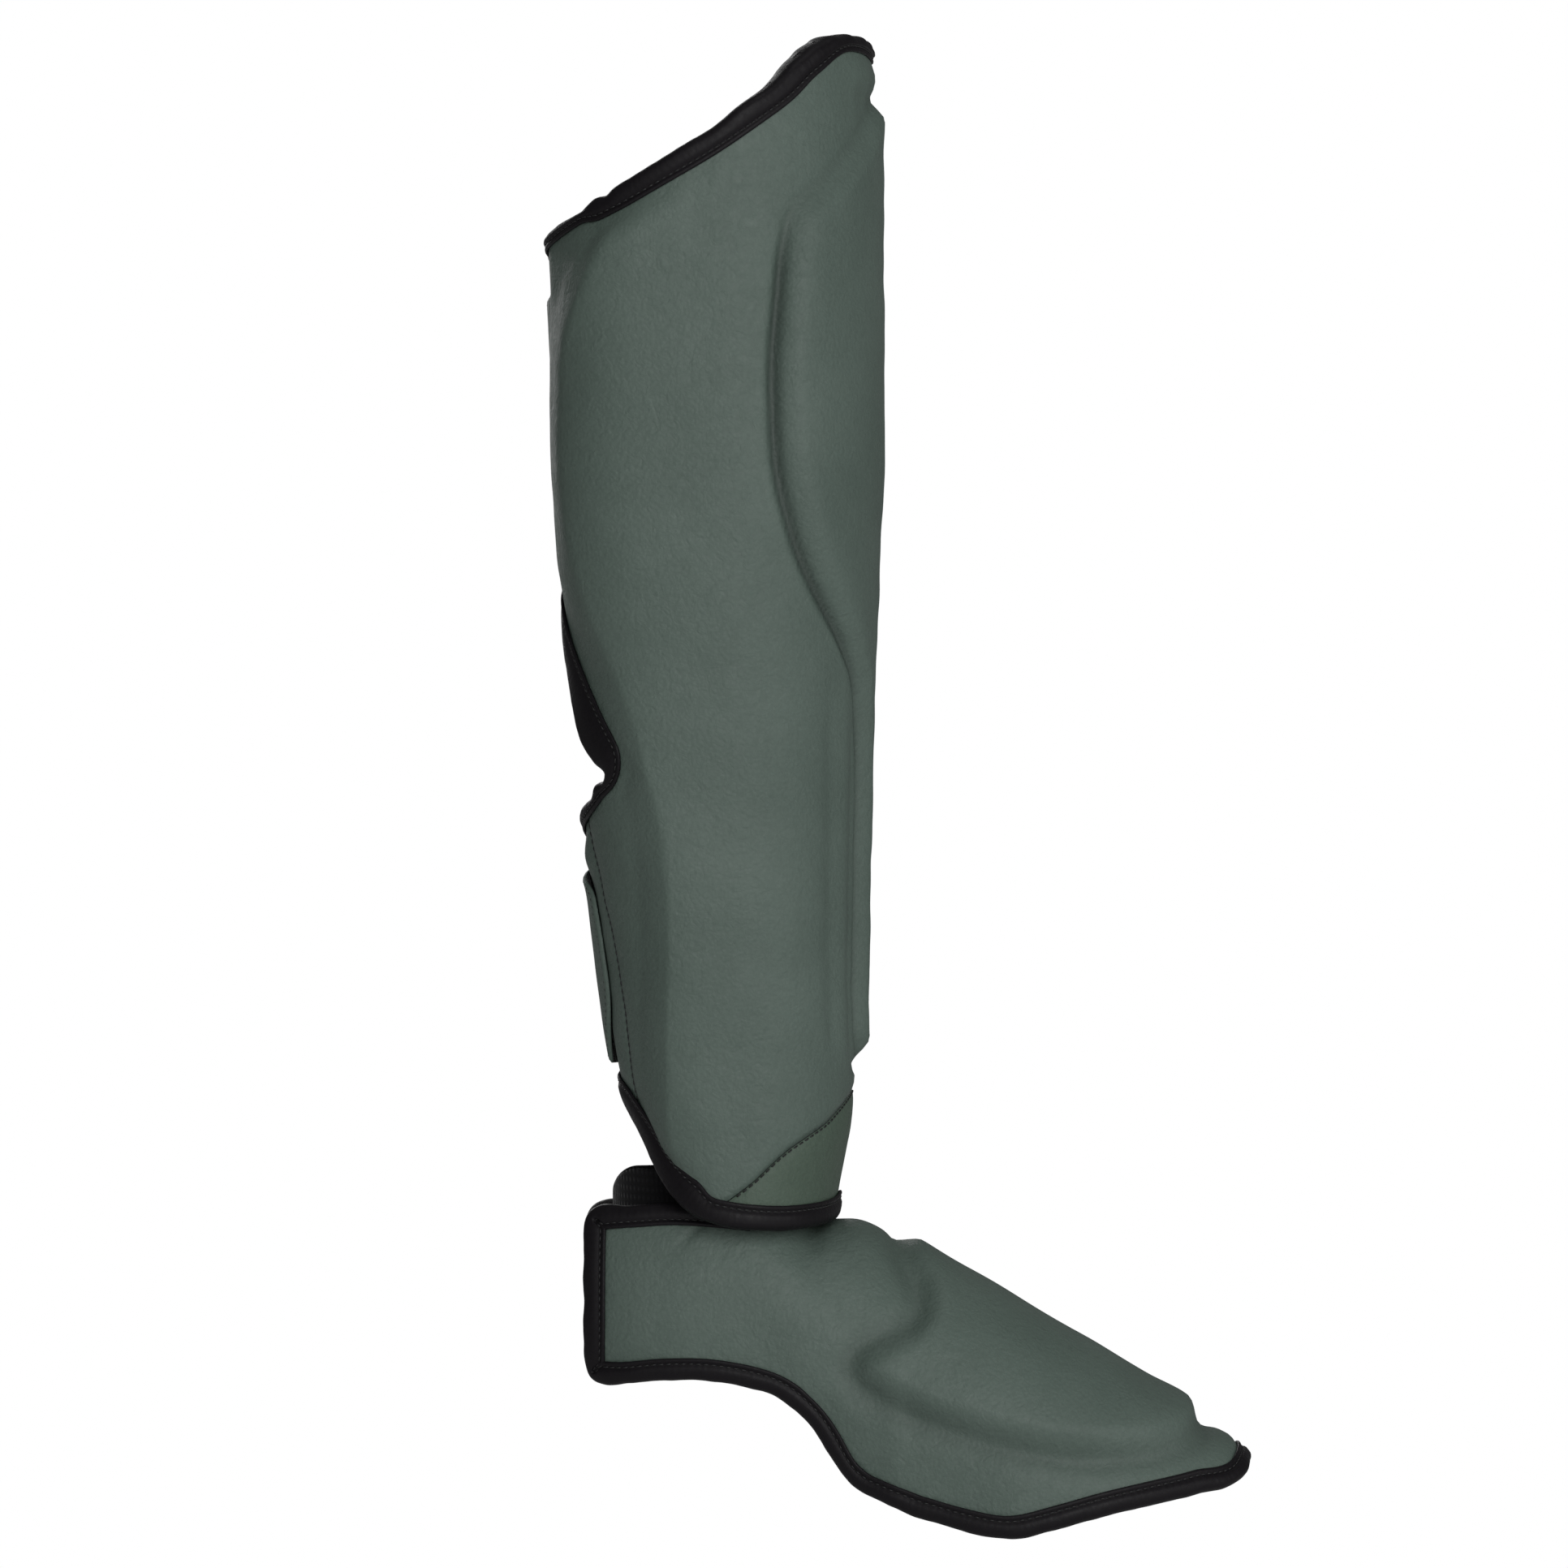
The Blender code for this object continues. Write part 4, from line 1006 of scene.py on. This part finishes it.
def bands(tree, place, pitch, axis, distortion, detail=1.0, detail_scale=1.0):
    """Soft bands, pitch metres from one to the next along the given axis: the node's wave turns by 20
    radians over one unit."""
    made = add_node(tree, "ShaderNodeTexWave", {
        "Vector": place, "Scale": 2 * math.pi / 20 / pitch, "Distortion": distortion, "Detail": detail,
        "Detail Scale": detail_scale}, wave_type="BANDS", bands_direction=axis)
    return made.outputs["Fac"]


def relief(tree, height, depth, strength=1.0, over=None):
    """The normal of a relief with its depth in metres, laid over another normal if one is given."""
    links = {"Strength": strength, "Distance": depth, "Height": height}
    if over is not None:
        links["Normal"] = over
    return add_node(tree, "ShaderNodeBump", links).outputs["Normal"]


def crease_dent_and_shade(tree):
    """How deep in the crease line a point lies, from the mesh's crease attribute (d, s): s exp(-d^2); it
    dents the leather and paints shade into its colour.
    """
    crease = add_node(tree, "ShaderNodeAttribute", attribute_name="crease").outputs["Vector"]
    parts = add_node(tree, "ShaderNodeSeparateXYZ", {"Vector": crease}).outputs
    square = calculate(tree, "MULTIPLY", parts["X"], parts["X"])
    bell = calculate(tree, "EXPONENT", calculate(tree, "MULTIPLY", square, -1.0))
    return calculate(tree, "MULTIPLY", bell, parts["Y"])


def new_material(name, space, **sockets):
    """A material, its nodes, and its texture space: UV, along the piece, or Object, both in metres. The
    named sockets of its Principled shader are set. Underscores stand for spaces."""
    made = bpy.data.materials.new(name)
    made.use_nodes = True
    for socket, value in sockets.items():
        made.node_tree.nodes["Principled BSDF"].inputs[socket.replace("_", " ")].default_value = value
    return made, made.node_tree, add_node(made.node_tree, "ShaderNodeTexCoord").outputs[space]


def drive(tree, **sockets):
    """Links node outputs to the named sockets of a material's Principled shader."""
    for socket, value in sockets.items():
        tree.links.new(value, tree.nodes["Principled BSDF"].inputs[socket.replace("_", " ")])


def coated_leather(name, light, dark):
    """Polyurethane-coated leather, embossed with a fine pebbled grain and buffed to a satin. The coat
    gives a broad soft sheen; the grain is 1.2 mm cells with short wrinkles 4 mm long between them."""
    made, tree, place = new_material(name, "Object", IOR=1.48, Specular_IOR_Level=0.42)
    grain = add_node(tree, "ShaderNodeTexVoronoi", {
        "Vector": place, "Scale": 1 / 0.0012, "Randomness": 1.0}, feature="SMOOTH_F1").outputs["Distance"]
    wrinkle = noise(tree, place, 0.0040, 5.0, 0.62, 0.9)
    tone = spread(tree, noise(tree, place, 0.045, 3.0), (0.35, 0.65), (0.0, 0.75))
    cell = spread(tree, grain, (0.1, 0.7), (1.0, 0.90))
    shade = blend(tree, 1.0, blend(tree, tone, colour(light), colour(dark)), cell, "MULTIPLY")
    dent_and_shade = crease_dent_and_shade(tree)
    # Painted shade: the colour is darkened towards 1c211e along the crease line, where the groove's shade
    # falls.
    crease_shaded = blend(tree, calculate(tree, "MULTIPLY", dent_and_shade, 0.55), shade, colour("1c211e"))
    rough = spread(tree, wrinkle, (0.3, 0.7), (0.48, 0.62))
    deep = calculate(tree, "MULTIPLY_ADD", dent_and_shade, -CREASE_DEPTH / WRINKLE_DEPTH, wrinkle)
    normal = relief(tree, grain, -0.00014, over=relief(tree, deep, WRINKLE_DEPTH))
    drive(tree, Base_Color=crease_shaded, Roughness=rough, Normal=normal)
    return made


@functools.cache
def green_leather():
    return coated_leather("grey_green_coated_leather", "5f6e66", "56655d")


@functools.cache
def panel_leather():
    return coated_leather("darker_coated_leather", "546558", "4c5c4f")


@functools.cache
def binding_leather():
    """Thin black coated leather cut on the cross and drawn tight over foam, so it is unevenly ribbed
    across its length, about 2.6 mm from rib to rib, and takes small sharp highlights."""
    made, tree, place = new_material("black_binding_leather", "UV", IOR=1.5, Specular_IOR_Level=0.20)
    ribs = bands(tree, place, 0.0026, "X", 5.0, 3.0, 2.0)
    grain = noise(tree, add_node(tree, "ShaderNodeTexCoord").outputs["Object"], 0.0016, 4.0, 0.6)
    tone = blend(tree, grain, colour("0f0d10"), colour("161317"))
    rough = spread(tree, grain, (0.3, 0.7), (0.42, 0.58))
    normal = relief(tree, grain, 0.00007, over=relief(tree, ribs, 0.00003))
    drive(tree, Base_Color=tone, Roughness=rough, Normal=normal)
    return made


@functools.cache
def lining():
    """Black polyester tricot laminated to the foam: a matt knit of wales 2.2 mm apart with a soft
    fuzz that lightens it at a glance."""
    made, tree, place = new_material("black_tricot_lining", "UV", Roughness=0.92, Specular_IOR_Level=0.2,
                                     Sheen_Weight=0.25, Sheen_Roughness=0.5)
    wales = bands(tree, place, 0.0022, "X", 0.6)
    rows = bands(tree, place, 0.0028, "Y", 0.6)
    knit = calculate(tree, "ADD", wales, rows)
    shade = blend(tree, spread(tree, knit, (0.0, 2.0), (0.0, 1.0)), colour("17171a"), colour("2a2a2e"))
    drive(tree, Base_Color=shade, Normal=relief(tree, knit, 0.0002, 0.8))
    return made


@functools.cache
def webbing():
    """Woven elastic: black polyester over rubber, with ribs 3 mm apart along the band and a dull,
    slightly fuzzy face."""
    made, tree, place = new_material("black_woven_elastic", "UV", Roughness=0.85, Specular_IOR_Level=0.3,
                                     Sheen_Weight=0.2, Sheen_Roughness=0.4)
    ribs = bands(tree, place, 0.0030, "Y", 0.4)
    picks = bands(tree, place, 0.0018, "X", 0.5)
    weave = calculate(tree, "MULTIPLY", ribs, picks)
    drive(tree, Base_Color=blend(tree, weave, colour("0d0d0f"), colour("19191c")),
          Normal=relief(tree, weave, 0.00025, 0.9))
    return made


@functools.cache
def thread():
    """Bonded nylon thread, black, two plies twisted, which glints a little along its turns."""
    made, tree, place = new_material("black_nylon_thread", "Object", Roughness=0.5, Specular_IOR_Level=0.5)
    drive(tree, Base_Color=blend(tree, noise(tree, place, 0.0005, 1.0), colour("0c0c0d"), colour("1b1b1d")))
    return made


@functools.cache
def white_paint():
    return new_material("matt_white_paint", "Object", Base_Color=colour("f2f2f2"), Roughness=0.9)[0]


# Pieces of the shin shell


def even(start, end, step):
    """Values from start to end, with at most step from one to the next."""
    return np.linspace(start, end, max(int(abs(end - start) / step + 1.5), 3))


def wing_rows():
    low = WING_SEAM[0][0] * SHIN_LENGTH
    for _ in range(6):
        low = rim_height(BOTTOM_RIM, edge_angle(WING_SEAM, low))
    return even(low, WING_TOP * SHIN_LENGTH, SHELL_STEP)


def shell_grid():
    """Angle and height of the shell's grid on the left side, from the front to its back edge. The columns
    stand upright over the ankle panel; behind it they share the way to the back edge."""
    below = np.append(wing_rows(), NOTCH_TIP * SHIN_LENGTH)
    notch = even(NOTCH_ROWS[0] * SHIN_LENGTH, NOTCH_ROWS[1] * SHIN_LENGTH, PATH_STEP)
    above = even(ABOVE_NOTCH * SHIN_LENGTH, rim_height(TOP_RIM, wing_angle()), SHELL_STEP)
    height = np.concatenate([below, notch, above])[:, None]
    seam = edge_angle(WING_SEAM, height) - FIT / CALF_DEPTH
    ends = np.where(height <= below[-1], seam, edge_angle(BACK_EDGE, height))
    upright = np.radians(np.linspace(0, PANEL_END, FRONT_COLUMNS))[None, :] + 0 * ends
    behind = np.linspace(0, 1, SIDE_COLUMNS)[None, 1:]
    angle = np.concatenate([upright, upright[:, -1:] + (ends - upright[:, -1:]) * behind], axis=1)
    up = (height - shell_low(ends)) / (rim_height(TOP_RIM, ends) - shell_low(ends))
    up[0], up[-1] = 0, 1
    return angle, shell_low(angle) + (rim_height(TOP_RIM, angle) - shell_low(angle)) * up


def panel_grid():
    angle = np.radians(np.linspace(0, PANEL_END, FRONT_COLUMNS))[None, :] + np.zeros((PANEL_ROWS, 1))
    low = rim_height(BOTTOM_RIM, angle)
    high = rim_height(CHEVRON, angle) - FIT / 2
    return angle, low + (high - low) * np.linspace(0, 1, PANEL_ROWS)[:, None]


def wing_grid():
    height = wing_rows()[:, None]
    start = edge_angle(WING_SEAM, height) + FIT / CALF_DEPTH
    end = edge_angle(BACK_EDGE, height)
    angle = start + (end - start) * np.linspace(0, 1, WING_COLUMNS)[None, :]
    low = rim_height(BOTTOM_RIM, angle[:1])
    up = (height - height[0]) / (height[-1] - height[0])
    return angle, low + (height[-1] - low) * up


def both_sides(angle, height):
    """A left-side grid that starts at the front, with its mirror image joined on."""
    angle = np.concatenate([-angle[:, :0:-1], angle], axis=1)
    return angle, np.concatenate([height[:, :0:-1], height], axis=1)


def finish_padded(piece, node):
    declare(piece, "green_leather", node)


def add_padding(node, angle, height, dip, leather, crease=None):
    """A stretch of the padded wall, drawn down to its seams by dip."""
    walls = shell_wall(angle, height, dip)
    finish_padded(add_wall(node + "_padding", *walls, leather, lining(), crease), node)


def make_shell():
    """The shell's wall, the ankle panel below its chevron, and the wings below its side seams."""
    angle, height = both_sides(*shell_grid())
    share = height / SHIN_LENGTH
    by_panel = ramp(np.abs(angle), math.radians(PANEL_END + 4), -math.radians(14))
    beside_wing = (edge_angle(WING_SEAM, height) - np.abs(angle)) * SHIN_RADIUS
    by_wing = np.where(share < NOTCH_TIP, beside_wing, 1)
    dip = edge_dip(height - rim_height(CHEVRON, angle)) * by_panel + edge_dip(by_wing)
    # Painted shade: the crease attribute darkens the leather's colour along the shin pad's crease, and
    # dents it.
    crease = (crease_distance(angle, height) - 0.0004) / SHIN_CREASE, crease_depth_and_shade(share)
    add_padding("shin_shell", angle, height, dip, green_leather(), crease)
    angle, height = both_sides(*panel_grid())
    dip = edge_dip(rim_height(CHEVRON, angle) - height)
    add_padding("ankle_panel", angle, height, dip, panel_leather())
    angle, height = wing_grid()
    dip = edge_dip((angle - edge_angle(WING_SEAM, height)) * SHIN_RADIUS)
    add_padding("lower_wing_right", -angle, height, dip, green_leather())
    add_padding("lower_wing_left", angle, height, dip, green_leather())


binding_lines = []


def resample(step, line, place):
    """A line's coordinates, read again at an even distance along its points."""
    run = run_along(line)
    return read_along(even(0, run[-1], step), run, place)


def knee_swell(edge):
    """Lumps of the roll at the knee: short ones at the front where it is gathered, long ones elsewhere,
    and one kink."""
    run = run_along(edge)
    front = ramp(edge[:, 0], *KNEE_GATHERED)
    short = 0.00022 * np.sin(2 * math.pi * run / 0.0105 + waves(run, 0 * run, 0.02, 44)) * front
    long = 0.0003 * waves(run, 0 * run, 0.019, 45) * (1 - front)
    return short + long + bumps(KNEE_KINK, edge[:, 0])


def notch_swell(heights):
    """The roll bulges over the upper side of the notch and is bunched in its corner."""
    bunched = 0.0006 * np.sin(heights / 0.0011) * bump(heights - 0.147, 0.006)
    return bumps(NOTCH_LUMPS, heights) + bunched


def make_shell_binding():
    """One length of leather round the whole shell: along the knee, down the left back edge, along the
    ankle and up the right back edge. Its corners are rounded."""
    angle = np.linspace(-wing_angle(), wing_angle(), 700)
    low, high = rim_height(BOTTOM_RIM, wing_angle()), rim_height(TOP_RIM, wing_angle())
    down = np.linspace(high, low, 900)[1:-1]
    back = edge_angle(BACK_EDGE, down)
    angles = np.concatenate([angle, back, angle[::-1], -back[::-1]])
    heights = np.concatenate([rim_height(TOP_RIM, angle), down, rim_height(BOTTOM_RIM, angle), down[::-1]])
    place = resample(PATH_STEP, shin_point(angles, heights), np.stack([angles, heights], axis=-1))
    place = soften(place[:-1], CORNER_ROUNDS, True)
    angles, heights = place.T
    edge = shin_point(angles, heights)
    back = ramp(heights, *BACK_FROM) * ramp(heights, *BACK_TO)
    notch = back * ramp(heights, *NOTCH_FROM) * ramp(heights, *NOTCH_TO)
    ankle = ramp(np.degrees(np.abs(angles)), *ANKLE_BEHIND) * ramp(heights, *ANKLE_TO)
    knee = ramp(heights, *KNEE_FROM)
    front = knee * ramp(edge[:, 0], *KNEE_FRONT)
    calf = knee * ramp(edge[:, 0], *KNEE_BACK)
    legs = BINDING_LEG + NOTCH_LEG * notch - BACK_LEG_LESS * (back - notch) + ANKLE_LEG * ankle
    legs -= KNEE_LEG_LESS * front + CALF_LEG_LESS * calf
    swell = knee * knee_swell(edge) + back * notch_swell(heights) - CALF_ROLL_LESS * calf
    piece = add_binding("shell_binding_roll", shin_skin, place, SHIN_WALL, 40, True, legs, swell)
    declare(piece, "black_binding", "knee_binding", "ankle_binding",
            "back_binding_left", "back_binding_right")


def strap_lift(angle):
    from_back = np.degrees(np.abs(angle - math.pi))
    climb = ramp(from_back, STRAP_LIFT_NONE, STRAP_LIFT_FULL - STRAP_LIFT_NONE)
    return FIT + (binding_clearance() + FIT) * climb


def band_rise(rows, columns, thick):
    """Thickness of a band over its grid: full in the middle and rounded off at its four edges."""
    v, u = np.meshgrid(np.linspace(-1, 1, rows), np.linspace(-1, 1, columns), indexing="ij")
    edge = np.maximum(np.abs(u) ** 40, np.abs(v) ** 26)
    return thick * (0.35 + 0.65 * np.sqrt(np.clip(1 - edge, 0, 1)))


def finish_strap(piece, node, slot):
    """Declares a strap: it rides the guard's one body and stands for the named solid."""
    declare(piece, slot, node)


def stitched_round(angle, height, lift, inset):
    """Lines just inside the four edges of a strap on the shell, with their normals."""
    rows, columns = angle.shape
    long, short = slice(inset * 2, columns - inset * 2), slice(inset, rows - inset)
    sides = [(row, long) for row in (inset, rows - 1 - inset)]
    sides += [(short, column) for column in (inset * 2, columns - 1 - inset * 2)]
    return [(shin_skin(angle[side], height[side], lift[side]), shin_normal(angle[side], height[side]))
            for side in sides]


def make_calf_straps():
    """Each strap is a rectangle of leather bent round the back: outside and inside lie off the shell by
    the strap's lift, and its thickness is rounded off at the edges."""
    rows, columns = CALF_STRAP_GRID
    share = np.linspace(0, 1, rows)[:, None]
    upper = np.linspace(-UPPER_STRAP_FAR, UPPER_STRAP_NEAR, columns)[None, :] + 0 * share
    lower = read(LOWER_STRAP_END, share) * np.linspace(-1, 1, columns)[None, :]
    straps = (
        ("upper_calf_strap", UPPER_STRAP_EDGES, upper),
        ("lower_calf_strap", LOWER_STRAP_EDGES, lower),
    )
    for name, (low, high), past in straps:
        angle = math.pi + np.radians(past)
        height = (low + (high - low) * share) * SHIN_LENGTH + 0 * angle
        lift = strap_lift(angle)
        thick = band_rise(rows, columns, STRAP_WORN)
        uneven = 0.0001 * waves(angle * SHIN_RADIUS, height, 0.02, 91)
        outside = shin_skin(angle, height, lift + thick + uneven)
        inside = shin_skin(angle, height, lift)
        piece = add_wall(name + "_leather", outside, inside, green_leather(), lining(), raw_edge=False)
        finish_strap(piece, name, "green_leather")
        add_stitches(name + "_stitches", stitched_round(angle, height, lift + thick - THREAD, 2))


def make_seam_stitches():
    """Stitches along the chevron, on the panel's side of the seam, and along both wing seams; then those
    of the bindings."""
    angle = np.radians(np.linspace(-CHEVRON_STITCHED, CHEVRON_STITCHED, 500))
    seams = [(angle, rim_height(CHEVRON, angle) - SEAM_STITCH)]
    height = np.linspace(*WING_STITCHED, 300) * SHIN_LENGTH
    angle = edge_angle(WING_SEAM, height) - SEAM_STITCH / SHIN_RADIUS
    seams += [(-angle, height), (angle, height)]
    lines = []
    for angle, height in seams:
        rise = shell_rise(angle, height) + edge_dip(SEAM_STITCH)
        lines.append((shin_skin(angle, height, rise), shin_normal(angle, height)))
    add_stitches("seam_stitches", lines)
    add_stitches("binding_stitches", binding_lines)


# Pieces of the foot cover


def cover_grid():
    half = np.linspace(0, 1, COVER_COLUMNS) ** COVER_CROWDING
    way = np.concatenate([-half[:0:-1], half])[None, :]
    down = np.linspace(0, 1, COVER_ROWS)[:, None]
    return foot_place(way + 0 * down, down + 0 * way)


def make_cover():
    x, turn = cover_grid()
    outside = foot_skin(x, turn, cover_rise(x, turn))
    inside = foot_skin(x, turn, -FOOT_WALL + 0.0003 * waves(x, turn * FOOT_INSIDE_RADIUS, 0.03, 35))
    # Painted shade: the crease attribute darkens the leather's colour along the foot pad's crease, less on
    # its top, and dents it.
    crease = foot_crease(x, turn) / FOOT_CREASE, 0.30 * ease(np.abs(turn) / 0.6)
    piece = add_wall("foot_cover_padding", outside, inside, green_leather(), lining(), crease)
    finish_padded(piece, "foot_cover")


def make_cover_binding():
    """One length of leather round the cover, which leaves out the collar's front: along the left collar,
    down the left back edge, along the outer edge, and the same on the right. Its corners are rounded."""
    end = np.interp(-COLLAR_BINDING_END, [-row[1] for row in RAYS], [row[0] for row in RAYS])
    collar = np.linspace(end, 1, 200)
    side = np.ones(200)
    size = np.linspace(0, 1, 500) ** COVER_CROWDING
    down = np.linspace(0, 1, 202)[1:-1]
    outer = np.concatenate([size[::-1], -size[1:]])
    ways = np.concatenate([collar, side, outer, -side, -collar[::-1]])
    downs = np.concatenate([0 * collar, down, 1 + 0 * outer, down[::-1], 0 * collar])
    x, turn = foot_place(ways, downs)
    place = resample(PATH_STEP, foot_point(x, turn), np.stack([x, turn], axis=-1))
    place = soften(place, CORNER_ROUNDS)
    edge = foot_point(*place.T)
    sole = ramp(edge[:, 2], *SOLE_FROM)
    toe = ramp(edge[:, 0], *TOE_FROM)
    heel = ramp(edge[:, 0], *HEEL_FROM)
    legs = BINDING_LEG - TOE_LEG_LESS * toe
    swell = HEEL_ROLL_MORE * heel - SOLE_ROLL_LESS * sole + TOE_ROLL_MORE * toe
    piece = add_binding("cover_binding_roll", foot_skin, place, FOOT_WALL, 80, False, legs, swell)
    declare(piece, "black_binding", "sole_edge_binding", "collar_binding_left", "collar_binding_right",
            "heel_binding_left", "heel_binding_right")


def make_heel_strap():
    """A band behind the heel, half an ellipse from above, whose top edge dips to the back in an arc."""
    rows, columns = HEEL_STRAP_GRID
    sweep = np.radians(np.linspace(-90, 90, columns))[None, :]
    x = -HEEL_STRAP_ROOT - (HEEL_STRAP_BACK - HEEL_STRAP_ROOT) * np.cos(sweep)
    dip = np.clip(1 - (x + HEEL_STRAP_BACK) / HEEL_STRAP_ROUND, 0, 1)
    top = HEEL_STRAP_HIGH - HEEL_STRAP_ROUND * (1 - np.sqrt(1 - dip**2))
    height = HEEL_STRAP_LOW + (top - HEEL_STRAP_LOW) * np.linspace(0, 1, rows)[:, None]
    collar = read_foot(COLLAR_EDGE, -HEEL_STRAP_ROOT) * FOOT_DROP
    held = np.minimum(height, collar)
    root = -HEEL_STRAP_ROOT + 0 * held
    turn = foot_turn(root, held)
    inset = FOOT_WALL + binding_clearance() + 2 * FIT
    half = foot_point(root, turn)[..., 1] - inset / normal_at(foot_point, root, turn)[..., 1]
    thick = band_rise(rows, columns, STRAP)
    outside = np.stack([x + 0 * half, half * np.sin(sweep), height], axis=-1)
    inside = np.stack([
        -HEEL_STRAP_ROOT - (HEEL_STRAP_BACK - HEEL_STRAP_ROOT - thick) * np.cos(sweep),
        (half - thick) * np.sin(sweep), height], axis=-1)
    piece = add_wall("heel_strap_band", outside, inside, webbing(), webbing())
    finish_strap(piece, "heel_strap", "black_webbing")


def make_sole_strap():
    """A band under the foot: flat across with a sag of k (1 - t^2), and its ends turned up the walls."""
    rows, columns = SOLE_STRAP_GRID
    x = np.linspace(-0.5, 0.5, columns)[None, :] * SOLE_STRAP_WIDTH + SOLE_STRAP_PLACE
    flat = read_foot(FOOT_EDGE, x).max() * FOOT_DROP + BINDING_LEG + 2 * BINDING_PUFF
    t = np.linspace(-1.25, 1.25, rows)[:, None]
    rise = np.maximum(np.abs(t) - 1, 0) / 0.25 * SOLE_STRAP_TAB
    across = np.clip(t, -1, 1)
    held = flat + rise + 0 * x
    inner = foot_skin(x + 0 * held, foot_turn(x + 0 * held, held), -FOOT_WALL)[..., 1]
    half = inner - 3 * FIT - STRAP / 2
    line = np.stack([x + 0 * held, half * across, held - SOLE_STRAP_SAG * (1 - across**2)], axis=-1)
    line = soften(line, 4)
    normal = unit(np.cross(np.gradient(line, axis=0), np.gradient(line, axis=1)))
    thick = band_rise(rows, columns, STRAP)[..., None] / 2
    piece = add_wall("sole_strap_band", line - normal * thick, line + normal * thick, webbing(), webbing())
    finish_strap(piece, "sole_strap", "black_webbing")


# Studio


def make_studio():
    """A pale floor well below the held-up guard, one large soft lamp a little right of the camera and
    above it, weaker ones all round, and the photo's camera."""
    bpy.ops.mesh.primitive_circle_add(vertices=96, radius=FLOOR_REACH, fill_type="NGON",
                                      location=(0, 0, -FLOOR_DROP))
    floor = bpy.context.object
    floor.name = "studio_floor"
    floor.data.materials.append(white_paint())
    lamps = (
        # name, place, size, power
        ("key_lamp", (0.9, -3.2, 1.0), 2.4, 51),
        ("front_lamp", (3.2, -1.6, 0.6), 1.6, 17),
        ("fill_lamp", (-1.6, -2.8, 0.5), 1.4, 5),
        ("back_lamp", (-0.8, 2.8, 1.0), 1.6, 16),
        ("top_lamp", (0.1, -0.3, 2.4), 1.4, 5),
    )
    for name, place, size, power in lamps:
        lamp = bpy.data.lights.new(name, "AREA")
        lamp.shape, lamp.size, lamp.energy = "DISK", size, power
        made = add_object(name, lamp)
        made.location = place
        made.rotation_euler = (VIEW_CENTRE - Vector(place)).to_track_quat("-Z", "Y").to_euler()
    world = bpy.data.worlds.new("studio")
    world.use_nodes = True
    tree = world.node_tree
    seen = add_node(tree, "ShaderNodeLightPath").outputs["Is Camera Ray"]
    level = spread(tree, seen, (0.0, 1.0), (WORLD_LIGHT, 1.0))
    tree.links.new(level, tree.nodes["Background"].inputs["Strength"])
    tree.nodes["Background"].inputs["Color"].default_value = (1, 1, 1, 1)
    bpy.context.scene.world = world
    camera = bpy.data.cameras.new("photo_camera")
    camera.sensor_width = SENSOR * 1000
    camera.lens = SENSOR * 1000 * CAMERA_AWAY / VIEW_SIDE
    camera.clip_end = 60
    made = add_object("photo_camera", camera)
    made.location = VIEW_CENTRE + Vector((0, -CAMERA_AWAY, 0))
    made.rotation_euler = (math.pi / 2, 0, 0)
    bpy.context.scene.camera = made
    bpy.context.scene.view_settings.view_transform = "Standard"


make_shell()
make_shell_binding()
make_calf_straps()
make_cover()
make_cover_binding()
make_seam_stitches()
make_heel_strap()
make_sole_strap()
make_studio()
